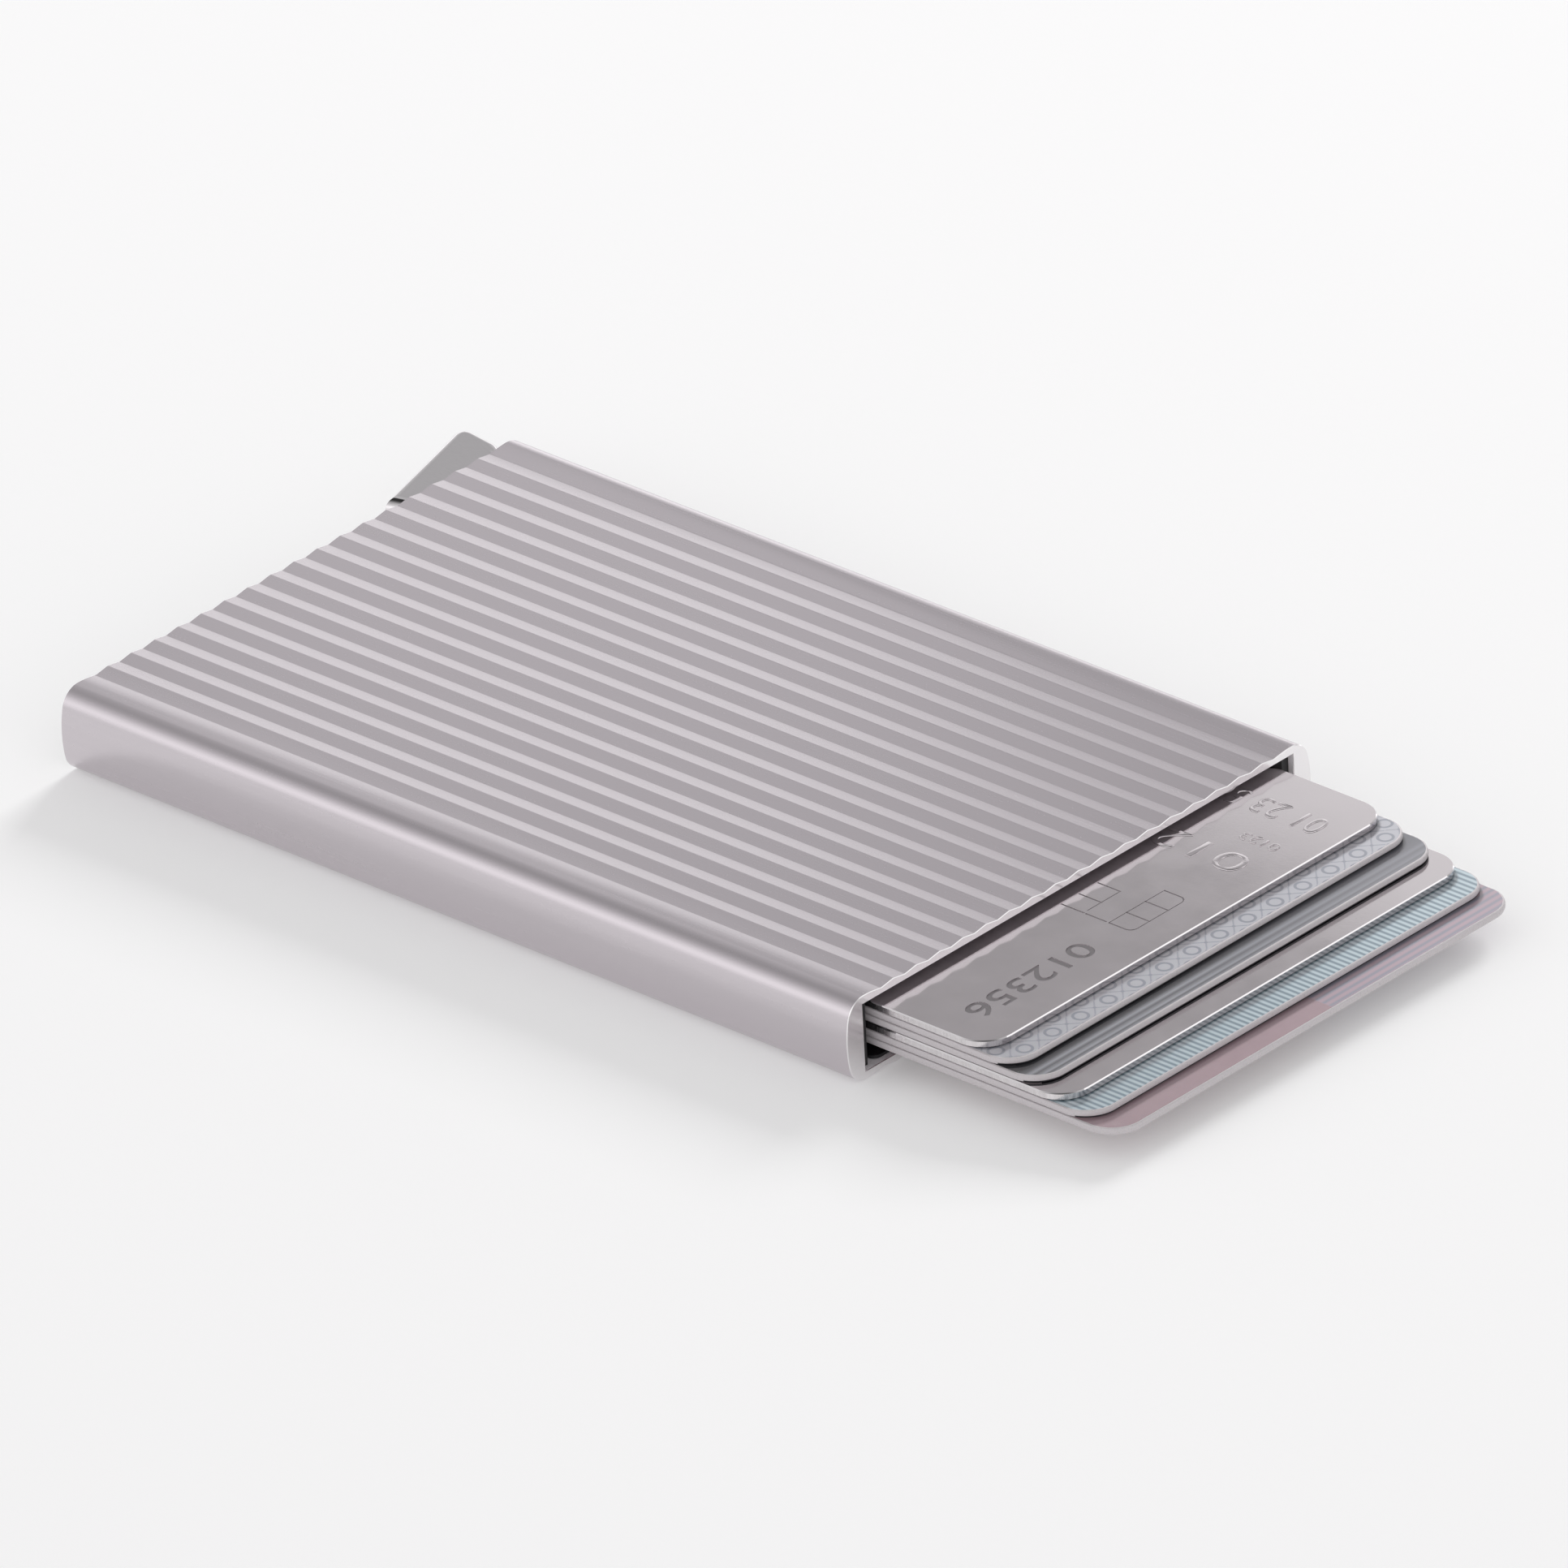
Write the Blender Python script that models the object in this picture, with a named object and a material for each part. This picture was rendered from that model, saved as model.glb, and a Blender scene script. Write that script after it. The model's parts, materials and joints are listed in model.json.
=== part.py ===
"""Pop up card holder: a ridged aluminium sleeve, six cards and the staircase lever that fans them out.

Metres. +X runs along the sleeve towards its mouth, +Y across it, +Z up.
The origin is the middle of the sleeve's underside. Rest is the photographed state:
the cards stand fanned out of the mouth and the lever has gone back to its stop.
"""

import math

import bmesh
import bpy

# Cards: bank size, in a stack from the top down
CARD_COUNT = 6
CARD_LENGTH = 0.0856
CARD_WIDTH = 0.05398
CARD_THICKNESS = 0.00072
CARD_CORNER = 0.00318
CARD_GAP = 0.00003

# The fan as it stands in the photograph
FAN_FIRST = 0.0132
FAN_STEP = 0.00299

# Room round the cards inside the sleeve
MECHANISM_ROOM = 0.0074
MOUTH_INSET = 0.0020
SIDE_ROOM = 0.00176
ROOF_ROOM = 0.00069
BRAKE_ROOM = 0.00154

# Sleeve
WALL = 0.0006
RIDGE_HEIGHT = 0.00025
RIDGE_COUNT = 17
RIDGE_LAND = 0.0002
RIM_WIDTH = 0.00259
SIDE_WALL = 0.00225
SIDE_RADIUS = 0.012
CORNER_RADIUS = 0.0022
END_CHAMFER = 0.00028
RIM_STEPS = 4
RIM_POWER = 1.5

# Clearances
SEAT = 0.00005
SLIDE_CLEAR = 0.00026
RUN_CLEAR = 0.0004
PIN_CLEAR = 0.00005
ROOT_CLEAR = 0.0002
OVERRUN = 0.002

# End plug and its cover
PLUG_INSET = 0.0005
PLUG_WALL = 0.0010
PLUG_FLOOR = 0.00045
PLUG_NEAR_BLOCK = 0.00285
PLUG_FAR_BLOCK = 0.00145
PLUG_CORNER = 0.0006
COVER_THICKNESS = 0.00025
SCREW_RADIUS = 0.0006
SCREW_HEAD_RADIUS = 0.00115
SCREW_HEAD_DEPTH = 0.0006
SCREW_LENGTH = 0.0045

# Lever: pivot, hub and swing
PIVOT_IN = 0.0036
PIVOT_SIDE = 0.00525
HUB_RADIUS = 0.0031
HUB_LIFT = 0.0024
PIN_RADIUS = 0.0010
PIN_CHAMFER = 0.0002
BUSH_WALL = 0.0005
LEVER_SLACK = 0.0004

# Thumb tab, in plan: places from the rear end (out of the tube) and from the pivot (across)
TAB_OUT = 0.0075
TAB_TIP_SIDE = 0.00695
TAB_HEEL_OUT = 0.00105
TAB_HEEL_SIDE = 0.00605
TAB_NECK_OUT = 0.0007
TAB_NECK_SIDE = 0.00305
TAB_NOSE_OUT = 0.00288
TAB_NOSE_SIDE = 0.00825
TAB_DEPTH = 0.00175
TAB_SPRING_WALL = 0.0010
TAB_TIP_RADIUS = 0.0016
TAB_HEEL_RADIUS = 0.0020
TAB_NOSE_RADIUS = 0.0014
TAB_RIM = 0.00022
TAB_RIM_FROM = math.radians(55)
TONGUE_THICKNESS = 0.00034
TONGUE_REACH = 0.0147
TONGUE_WIDTH = 0.0042
TONGUE_CORNER = 0.0012

# Staircase arm
ARM_BACK = 0.0020
ARM_FRONT_GAP = 0.0005
ARM_LIFT = 0.00015
ARM_DRAFT = 0.00005
ARM_TAPER = 0.0016
ARM_TIP_RADIUS = 0.0012
ARM_TIP_CLEAR = 0.000325
ARM_BACK_RADIUS = 0.0008
TREAD_DROP = 0.00005
RIVET_RADIUS = 0.0008
RIVET_FIRST = 0.0064
RIVET_FROM_END = 0.0023

# Return spring and stop
WIRE_RADIUS = 0.000175
COIL_RADIUS = 0.0019
COIL_PITCH = 0.00078
COIL_TURNS = 2.25
COIL_POINTS = 10
BEND_STEPS = 3
LEG_LEAD = 0.0008
LEG_BEND = 0.0008
LEG_CLEAR = 0.0001
LEG_HOLE_DEPTH = 0.0009
BUFFER_LENGTH = 0.0060
BUFFER_HEIGHT = 0.0020
BUFFER_FROM_TIP = 0.0050

# Rails, liner and brake
LINING_SETBACK = 0.0006
RAIL_LEAD = 0.0006
LINER_THICKNESS = 0.0003
LINER_SIDE = 0.0003
LEAF_THICKNESS = 0.00018
LEAF_WIDTH = 0.0090
LEAF_LENGTH = 0.0310
LEAF_FOOT = 0.0050
LEAF_TIP_RADIUS = 0.0040
LEAF_SETBACK = 0.0022
LEAF_FROM_EDGE = 0.00899
LEAF_RISE_SHARES = ((0.0, 0.0), (0.16, 0.0), (0.3, 0.22), (0.46, 0.7), (0.58, 1.0))
LEAF_FALL_SHARES = ((0.76, 1.0), (0.88, 0.72), (1.0, 0.1))
PAD_LENGTH = 0.0050
PAD_THICKNESS = 0.0003
PAD_CORNER = 0.0008
BRAKE_RIVET_RADIUS = 0.0008
BRAKE_RIVET_HEAD = 0.0015
BRAKE_RIVET_DOME = 0.0003

# Facets
ARC_STEPS = 6
CARD_CORNER_STEPS = 10
TURN_STEPS = 24
SMOOTH_BELOW = math.radians(40)
MERGE = 0.000001

# Sizes that follow from those above
STACK_HEIGHT = CARD_COUNT * CARD_THICKNESS + (CARD_COUNT - 1) * CARD_GAP
CAVITY_WIDTH = CARD_WIDTH + 2 * SIDE_ROOM
CAVITY_HEIGHT = BRAKE_ROOM + STACK_HEIGHT + ROOF_ROOM
TUBE_LENGTH = MECHANISM_ROOM + CARD_LENGTH + MOUTH_INSET
TUBE_WIDTH = CAVITY_WIDTH + 2 * SIDE_WALL
TUBE_HEIGHT = CAVITY_HEIGHT + 2 * (WALL + RIDGE_HEIGHT)
REAR = -TUBE_LENGTH / 2
MOUTH = TUBE_LENGTH / 2
FLOOR = WALL + RIDGE_HEIGHT
CEILING = FLOOR + CAVITY_HEIGHT
STACK_TOP = CEILING - ROOF_ROOM
RIDGE_PITCH = (CAVITY_WIDTH - 2 * RIM_WIDTH) / RIDGE_COUNT
PIVOT_X = REAR + PIVOT_IN
PIVOT_Y = CAVITY_WIDTH / 2 - PIVOT_SIDE
PLUG_LOW = FLOOR + SEAT
PLUG_DECK = PLUG_LOW + PLUG_FLOOR
COVER_HIGH = CEILING - SEAT
COVER_LOW = COVER_HIGH - COVER_THICKNESS
LEVER_HIGH = COVER_LOW - SEAT
LEVER_LOW = PLUG_DECK + ARM_LIFT
HUB_LOW = PLUG_DECK + HUB_LIFT
MECHANISM_END = REAR + MECHANISM_ROOM - ARM_FRONT_GAP
PLUG_HALF = CAVITY_WIDTH / 2 - SEAT
ARM_REACH = PIVOT_Y + PLUG_HALF - PLUG_NEAR_BLOCK - ARM_TIP_CLEAR
LINER_HIGH = FLOOR + SEAT + LINER_THICKNESS
LINING_START = MECHANISM_END + SLIDE_CLEAR
LINING_END = MOUTH - LINING_SETBACK


def clear_scene():
    """Empty the scene that the script is run in."""
    for old in list(bpy.data.objects):
        bpy.data.objects.remove(old, do_unlink=True)


def make_material(name, colour, metallic, roughness):
    """One Principled finish."""
    material = bpy.data.materials.new(name)
    material.use_nodes = True
    shader = material.node_tree.nodes["Principled BSDF"]
    shader.inputs["Base Color"].default_value = (*colour, 1.0)
    shader.inputs["Metallic"].default_value = metallic
    shader.inputs["Roughness"].default_value = roughness
    return material


def add_object(name, bm, material=None):
    """Turn a bmesh into a named object with its faces pointing out."""
    bmesh.ops.recalc_face_normals(bm, faces=bm.faces)
    mesh = bpy.data.meshes.new(name)
    bm.to_mesh(mesh)
    bm.free()
    if material:
        mesh.materials.append(material)
    piece = bpy.data.objects.new(name, mesh)
    bpy.context.scene.collection.objects.link(piece)
    return piece


def boolean(piece, helper, operation):
    """Join, cut or trim a piece with a helper that moves with it and stays out of the model."""
    modifier = piece.modifiers.new(helper.name, "BOOLEAN")
    modifier.operation = operation
    modifier.solver = "EXACT"
    modifier.object = helper
    helper.hide_render = True
    helper.display_type = "WIRE"
    helper.parent = piece
    helper.matrix_parent_inverse = piece.matrix_basis.inverted()


def move_origin(piece, x, y, z):
    """Put a moving piece's origin on its joint's axis and leave its shape where it is."""
    for vertex in piece.data.vertices:
        vertex.co.x -= x
        vertex.co.y -= y
        vertex.co.z -= z
    piece.location = (x, y, z)


def fillet(corners, steps=ARC_STEPS):
    """Points of an outline from its corners (a, b, radius); a radius of zero keeps the corner sharp."""
    points = []
    for i, (a, b, radius) in enumerate(corners):
        if not radius:
            points.append((a, b))
            continue
        before = corners[i - 1]
        after = corners[(i + 1) % len(corners)]
        back = math.atan2(before[1] - b, before[0] - a)
        ahead = math.atan2(after[1] - b, after[0] - a)
        turn = (ahead - back + math.pi) % math.tau - math.pi
        reach = radius / math.sin(abs(turn) / 2)
        middle = back + turn / 2
        centre_a = a + reach * math.cos(middle)
        centre_b = b + reach * math.sin(middle)
        sweep = math.copysign(math.pi - abs(turn), -turn)
        start = back - math.copysign(math.pi / 2, turn)
        for step in range(steps + 1):
            angle = start + sweep * step / steps
            points.append((centre_a + radius * math.cos(angle), centre_b + radius * math.sin(angle)))
    return points


def box_corners(low_a, low_b, high_a, high_b, radius=0):
    """The four corners of a rectangle for fillet()."""
    return [
        (low_a, low_b, radius),
        (high_a, low_b, radius),
        (high_a, high_b, radius),
        (low_a, high_b, radius),
    ]


def prism(name, outline, low, high, material=None, along="Z"):
    """Extrude a flat outline: (x, y) along Z, (y, z) along X or (x, z) along Y."""
    place = {
        "Z": lambda a, b, c: (a, b, c),
        "X": lambda a, b, c: (c, a, b),
        "Y": lambda a, b, c: (a, c, b),
    }[along]
    bm = bmesh.new()
    start = [bm.verts.new(place(a, b, low)) for a, b in outline]
    end = [bm.verts.new(place(a, b, high)) for a, b in outline]
    bm.faces.new(start)
    bm.faces.new(end)
    for i, vertex in enumerate(start):
        j = (i + 1) % len(start)
        bm.faces.new((vertex, start[j], end[j], end[i]))
    return add_object(name, bm, material)


def turned(name, profile, centres, material=None):
    """Spin a profile of (radius, z) round a vertical axis at each centre."""
    bm = bmesh.new()
    for x, y in centres:
        vertices = [bm.verts.new((x + radius, y, z)) for radius, z in profile]
        edges = [bm.edges.new(pair) for pair in zip(vertices, vertices[1:])]
        if profile[0][0] and profile[-1][0]:
            edges.append(bm.edges.new((vertices[-1], vertices[0])))
        bmesh.ops.spin(
            bm,
            geom=vertices + edges,
            cent=(x, y, 0),
            axis=(0, 0, 1),
            angle=math.tau,
            steps=TURN_STEPS,
            use_merge=True,
        )
    bmesh.ops.remove_doubles(bm, verts=bm.verts, dist=MERGE)
    piece = add_object(name, bm, material)
    piece.data.shade_smooth()
    piece.data.set_sharp_from_angle(angle=SMOOTH_BELOW)
    return piece


def pin_profile(radius, low, high, chamfer):
    """Profile of a plain pin with chamfered ends."""
    lower = [(0, low), (radius - chamfer, low), (radius, low + chamfer)]
    upper = [(radius, high - chamfer), (radius - chamfer, high), (0, high)]
    return lower + upper


def cylinders(name, centres, radius, low=-OVERRUN, high=TUBE_HEIGHT + OVERRUN):
    """Upright cylinders that make holes through a piece, or a boss on it."""
    return turned(name, [(0, low), (radius, low), (radius, high), (0, high)], centres)


def circle(a, b, radius, sides):
    """Points of a circle for prism()."""
    angles = [math.tau * side / sides for side in range(sides)]
    return [(a + radius * math.cos(angle), b + radius * math.sin(angle)) for angle in angles]


def side_outline(inset):
    """The bulged side of the sleeve from its top flat to its bottom flat, about mid height."""
    half_height = TUBE_HEIGHT / 2
    corner_z = half_height - CORNER_RADIUS
    side_y = TUBE_WIDTH / 2 - SIDE_RADIUS
    corner_y = side_y + math.sqrt((SIDE_RADIUS - CORNER_RADIUS) ** 2 - corner_z**2)
    tilt = math.asin(corner_z / (SIDE_RADIUS - CORNER_RADIUS))
    points = []
    for step in range(ARC_STEPS):
        angle = math.pi / 2 + (tilt - math.pi / 2) * step / ARC_STEPS
        radius = CORNER_RADIUS - inset
        points.append((corner_y + radius * math.cos(angle), corner_z + radius * math.sin(angle)))
    for step in range(ARC_STEPS + 1):
        angle = tilt - 2 * tilt * step / ARC_STEPS
        radius = SIDE_RADIUS - inset
        points.append((side_y + radius * math.cos(angle), radius * math.sin(angle)))
    points += [(y, -z) for y, z in reversed(points[:ARC_STEPS])]
    return points


def rim_rise(inset):
    """The rim beside the last valley, rising in a soft curve to its flat, as (y, height over mid height)."""
    high = TUBE_HEIGHT / 2 - inset
    valley = RIDGE_COUNT * RIDGE_PITCH / 2
    width = (RIDGE_PITCH - RIDGE_LAND) / 2
    shares = [step / RIM_STEPS for step in range(RIM_STEPS + 1)]
    return [(valley + width * share, high - RIDGE_HEIGHT * (1 - share) ** RIM_POWER) for share in shares]


def ridge_outline(inset):
    """The ridged face from the near rim to the far rim, as (y, height over mid height)."""
    high = TUBE_HEIGHT / 2 - inset
    land = RIDGE_LAND / 2
    rim = rim_rise(inset)
    points = [(-y, z) for y, z in reversed(rim)]
    for ridge in range(RIDGE_COUNT):
        crest = (ridge - (RIDGE_COUNT - 1) / 2) * RIDGE_PITCH
        points += [(crest - land, high), (crest + land, high)]
        points.append((crest + RIDGE_PITCH / 2, high - RIDGE_HEIGHT))
    return points[:-1] + rim


def tube_ring(inset):
    """The whole outline of the sleeve, clockwise from the far top corner."""
    side = side_outline(inset)
    face = ridge_outline(inset)
    ring = side + [(y, -z) for y, z in reversed(face)]
    ring += [(-y, z) for y, z in reversed(side)] + face
    return [(y, z + TUBE_HEIGHT / 2) for y, z in ring]


def make_tube(material):
    """Extruded sleeve: chamfered ends, ridged faces and a square-cornered cavity."""
    bm = bmesh.new()
    stations = (
        (REAR, END_CHAMFER),
        (REAR + END_CHAMFER, 0),
        (MOUTH - END_CHAMFER, 0),
        (MOUTH, END_CHAMFER),
    )
    rings = [[bm.verts.new((x, y, z)) for y, z in tube_ring(inset)] for x, inset in stations]
    for ring, following in zip(rings, rings[1:]):
        for i, vertex in enumerate(ring):
            j = (i + 1) % len(ring)
            bm.faces.new((vertex, ring[j], following[j], following[i]))
    bm.faces.new(rings[0])
    bm.faces.new(rings[-1])
    tube = add_object("tube", bm, material)
    half = CAVITY_WIDTH / 2
    cavity = box_corners(-half, FLOOR, half, CEILING)
    boolean(
        tube,
        prism("cavity_cutter", fillet(cavity), REAR - OVERRUN, MOUTH + OVERRUN, along="X"),
        "DIFFERENCE",
    )
    return tube


def card_top(number):
    """Top face of a card, counted from 1 at the top of the stack."""
    return STACK_TOP - (number - 1) * (CARD_THICKNESS + CARD_GAP)


def card_front(number):
    """How far out of the mouth a card stands in the photograph."""
    return MOUTH + FAN_FIRST + (number - 1) * FAN_STEP


def make_cards(materials):
    """Six cards, each with its origin at the middle of its tail edge."""
    for number in range(1, CARD_COUNT + 1):
        front = card_front(number)
        tail = front - CARD_LENGTH
        half = CARD_WIDTH / 2
        outline = fillet(box_corners(tail, -half, front, half, CARD_CORNER), CARD_CORNER_STEPS)
        high = card_top(number)
        card = prism(f"card_{number}", outline, high - CARD_THICKNESS, high, materials[number - 1])
        move_origin(card, tail, 0, high - CARD_THICKNESS / 2)


def screw_place():
    """Middle of the near block of the end plug."""
    return (MECHANISM_END + REAR + PLUG_INSET) / 2, -PLUG_HALF + PLUG_NEAR_BLOCK / 2


def screw_profile(clear):
    """Countersunk screw, or with a clearance the hole for it."""
    radius = SCREW_RADIUS + clear
    head = SCREW_HEAD_RADIUS + clear
    low = COVER_HIGH - SCREW_LENGTH - clear
    profile = [(0, low), (radius, low), (radius, COVER_HIGH - SCREW_HEAD_DEPTH), (head, COVER_HIGH)]
    if clear:
        return profile + [(head, COVER_HIGH + OVERRUN), (0, COVER_HIGH + OVERRUN)]
    return profile + [(0, COVER_HIGH)]


def make_plug(material):
    """Moulded tray that closes the rear end beside the tab and carries the pivot."""
    half = PLUG_HALF
    rear = REAR + PLUG_INSET
    plug = prism(
        "end_plug",
        fillet(box_corners(rear, -half, MECHANISM_END, half)),
        PLUG_LOW,
        COVER_LOW - SEAT,
        material,
    )
    recess_near = -half + PLUG_NEAR_BLOCK
    recess_far = half - PLUG_FAR_BLOCK
    wall = rear + PLUG_WALL
    slot = PIVOT_Y - math.hypot(TAB_NOSE_OUT + PIVOT_IN, TAB_NOSE_SIDE) - RUN_CLEAR
    recess = [
        (wall, recess_near, PLUG_CORNER),
        (MECHANISM_END + OVERRUN, recess_near, 0),
        (MECHANISM_END + OVERRUN, recess_far, 0),
        (REAR - OVERRUN, recess_far, 0),
        (REAR - OVERRUN, slot, 0),
        (wall, slot, 0),
    ]
    boolean(plug, prism("plug_recess", fillet(recess), PLUG_DECK, CEILING + OVERRUN), "DIFFERENCE")
    pivot = [(PIVOT_X, PIVOT_Y)]
    boolean(plug, cylinders("plug_pin_hole", pivot, PIN_RADIUS + PIN_CLEAR), "DIFFERENCE")
    boolean(plug, turned("plug_screw_hole", screw_profile(PIN_CLEAR), [screw_place()]), "DIFFERENCE")
    leg = leg_hole("plug_leg_hole", fixed_leg(), recess_far - OVERRUN, recess_far + LEG_HOLE_DEPTH)
    boolean(plug, leg, "DIFFERENCE")


def make_cover(material):
    """Thin steel plate over the plug, the upper bearing of the pivot pin."""
    half = PLUG_HALF - SEAT
    outline = fillet(box_corners(REAR + PLUG_INSET, -half, MECHANISM_END, half, PLUG_CORNER))
    cover = prism("cover_plate", outline, COVER_LOW, COVER_HIGH, material)
    pivot = [(PIVOT_X, PIVOT_Y)]
    boolean(cover, cylinders("cover_pin_hole", pivot, PIN_RADIUS + PIN_CLEAR), "DIFFERENCE")
    boolean(cover, turned("cover_screw_hole", screw_profile(PIN_CLEAR), [screw_place()]), "DIFFERENCE")


def make_pivot(steel, brass):
    """Cover screw, pivot pin and the sleeve bush in the hub."""
    turned("cover_screw", screw_profile(0), [screw_place()], steel)
    pin = pin_profile(PIN_RADIUS, PLUG_LOW + SEAT, COVER_HIGH - SEAT, PIN_CHAMFER)
    turned("pivot_pin", pin, [(PIVOT_X, PIVOT_Y)], steel)
    inner = PIN_RADIUS + PIN_CLEAR
    low = HUB_LOW + SEAT
    high = LEVER_HIGH - SEAT
    wall = [(inner, low), (inner + BUSH_WALL, low), (inner + BUSH_WALL, high), (inner, high)]
    bush = turned("pivot_bush", wall, [(PIVOT_X, PIVOT_Y)], brass)
    move_origin(bush, PIVOT_X, PIVOT_Y, 0)


def rivet_places():
    """The two rivets that hold the arm to the tab's tongue."""
    x = (REAR + ARM_BACK + MECHANISM_END) / 2
    return [(x, PIVOT_Y - RIVET_FIRST), (x, PIVOT_Y - TONGUE_REACH + RIVET_FROM_END)]


def tab_slope():
    """Lean of the tab's outer edge against the sleeve's end."""
    return math.atan2(TAB_OUT - TAB_NOSE_OUT, TAB_TIP_SIDE + TAB_NOSE_SIDE)


def tab_outline():
    """The tab's wedge in plan, from the nose round the inner side to the heel and tip."""
    nose_x = REAR - TAB_NOSE_OUT
    nose_y = PIVOT_Y - TAB_NOSE_SIDE
    depth_x = REAR + TAB_DEPTH
    wall_x = REAR + TAB_SPRING_WALL
    root_y = PIVOT_Y - HUB_RADIUS
    neck_y = PIVOT_Y + TAB_NECK_SIDE
    return [
        (nose_x, nose_y, 0),
        (depth_x, nose_y + (depth_x - nose_x) * math.tan(tab_slope()), 0),
        (depth_x, root_y, 0),
        (wall_x, root_y, 0),
        (wall_x, neck_y, 0),
        (REAR - TAB_NECK_OUT, neck_y, 0),
        (REAR - TAB_HEEL_OUT, PIVOT_Y + TAB_HEEL_SIDE, TAB_HEEL_RADIUS),
        (REAR - TAB_OUT, PIVOT_Y + TAB_TIP_SIDE, TAB_TIP_RADIUS),
    ]


def nose_trim():
    """The tab's side view, its nose rolled over top and bottom, laid along the tab's outer edge."""
    reach = TAB_NOSE_SIDE + TAB_TIP_SIDE + TAB_OUT
    profile = [
        (0, LEVER_LOW, TAB_NOSE_RADIUS),
        (reach, LEVER_LOW, 0),
        (reach, LEVER_HIGH, 0),
        (0, LEVER_HIGH, TAB_NOSE_RADIUS),
    ]
    trim = prism("nose_trim", fillet(profile), -reach, reach, along="Y")
    trim.rotation_euler.z = math.pi / 2 + tab_slope()
    trim.location = (REAR - TAB_NOSE_OUT, PIVOT_Y - TAB_NOSE_SIDE, 0)
    return trim


def make_tab(material):
    """Polished thumb tab: a wedge outside, a hub on the pivot and a tongue over the arm."""
    tab = prism("thumb_tab", fillet(tab_outline()), LEVER_LOW - OVERRUN, LEVER_HIGH + OVERRUN, material)
    move_origin(tab, PIVOT_X, PIVOT_Y, 0)
    boolean(tab, nose_trim(), "INTERSECT")
    rim = tab.modifiers.new("rim", "BEVEL")
    rim.width = TAB_RIM
    rim.segments = 2
    rim.limit_method = "ANGLE"
    rim.angle_limit = TAB_RIM_FROM
    under = LEVER_HIGH - SEAT
    boolean(tab, cylinders("hub_boss", [(PIVOT_X, PIVOT_Y)], HUB_RADIUS, HUB_LOW, under), "UNION")
    middle = (REAR + ARM_BACK + MECHANISM_END) / 2
    half = TONGUE_WIDTH / 2
    tongue = [
        (middle - half, PIVOT_Y - TONGUE_REACH, TONGUE_CORNER),
        (middle + half, PIVOT_Y - TONGUE_REACH, TONGUE_CORNER),
        (middle + half, PIVOT_Y, 0),
        (middle - half, PIVOT_Y, 0),
    ]
    boolean(tab, prism("tongue", fillet(tongue), under - TONGUE_THICKNESS, under), "UNION")
    bore = PIN_RADIUS + BUSH_WALL + 2 * PIN_CLEAR
    boolean(tab, cylinders("hub_bore", [(PIVOT_X, PIVOT_Y)], bore), "DIFFERENCE")
    boolean(tab, cylinders("tongue_holes", rivet_places(), RIVET_RADIUS + PIN_CLEAR), "DIFFERENCE")


def tip_throw(number):
    """How far ahead of the pivot a tread's round tip must swing to bring its card to its place."""
    return card_front(number) - CARD_LENGTH - LEVER_SLACK - PIVOT_X - ARM_TIP_RADIUS


def tip_ahead(number):
    """How far ahead of the pivot a tread's round tip lies at rest."""
    return MECHANISM_END - PIVOT_X - ARM_DRAFT * (CARD_COUNT - number) - ARM_TIP_RADIUS


def lever_swing():
    """Turn that brings the longest tread, as long as the sleeve has room for, to its card's place."""
    ahead = tip_ahead(CARD_COUNT)
    across = ARM_REACH - ARM_TIP_RADIUS
    return math.asin(tip_throw(CARD_COUNT) / math.hypot(ahead, across)) - math.atan2(ahead, across)


def tread_reach(number):
    """Distance from the pivot to the tip of the tread that pushes one card out to its place in the fan."""
    swing = lever_swing()
    along = tip_throw(number) - tip_ahead(number) * math.cos(swing)
    return along / math.sin(swing) + ARM_TIP_RADIUS


def tread_outline(number):
    """Plan of one tread: straight front, tapered back, rounded tip; higher treads stand in by the draft."""
    draft = ARM_DRAFT * (CARD_COUNT - number)
    root = PIVOT_Y - HUB_RADIUS - ROOT_CLEAR - draft
    tip = PIVOT_Y - tread_reach(number)
    longest = tread_reach(CARD_COUNT)
    back_tip = REAR + ARM_BACK + ARM_TAPER * tread_reach(number) / longest
    return [
        (REAR + ARM_BACK + draft, root, 0),
        (back_tip + draft, tip, ARM_BACK_RADIUS),
        (MECHANISM_END - draft, tip, ARM_TIP_RADIUS),
        (MECHANISM_END - draft, root, 0),
    ]


def tread_top(number):
    """Top of a tread, just under the top face of the card it pushes."""
    return card_top(number) - TREAD_DROP


def make_arm(material, steel):
    """Staircase arm: one tread for each card, the lowest reaching furthest."""
    arm = prism("stepped_arm", fillet(tread_outline(CARD_COUNT)), LEVER_LOW, tread_top(CARD_COUNT), material)
    move_origin(arm, PIVOT_X, PIVOT_Y, 0)
    for number in range(CARD_COUNT - 1, 0, -1):
        low = tread_top(number + 1) - CARD_THICKNESS / 2
        tread = prism(f"tread_{number}", fillet(tread_outline(number)), low, tread_top(number))
        boolean(arm, tread, "UNION")
    boolean(arm, cylinders("arm_holes", rivet_places(), RIVET_RADIUS + PIN_CLEAR), "DIFFERENCE")
    root = PIVOT_Y - HUB_RADIUS - ROOT_CLEAR
    boolean(arm, leg_hole("arm_leg_hole", moving_leg(), root - LEG_HOLE_DEPTH, root + OVERRUN), "DIFFERENCE")
    print(f"stepped_arm: the lever swings {math.degrees(lever_swing()):.1f} degrees")
    pin = pin_profile(RIVET_RADIUS, LEVER_LOW + SEAT, LEVER_HIGH - SEAT, PIN_CLEAR)
    for number, place in enumerate(rivet_places(), start=1):
        rivet = turned(f"arm_rivet_{number}", pin, [place], steel)
        move_origin(rivet, PIVOT_X, PIVOT_Y, 0)


def coil_low():
    """Height of the wire's centre in the spring's lowest turn."""
    return PLUG_DECK + SEAT + WIRE_RADIUS


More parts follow.
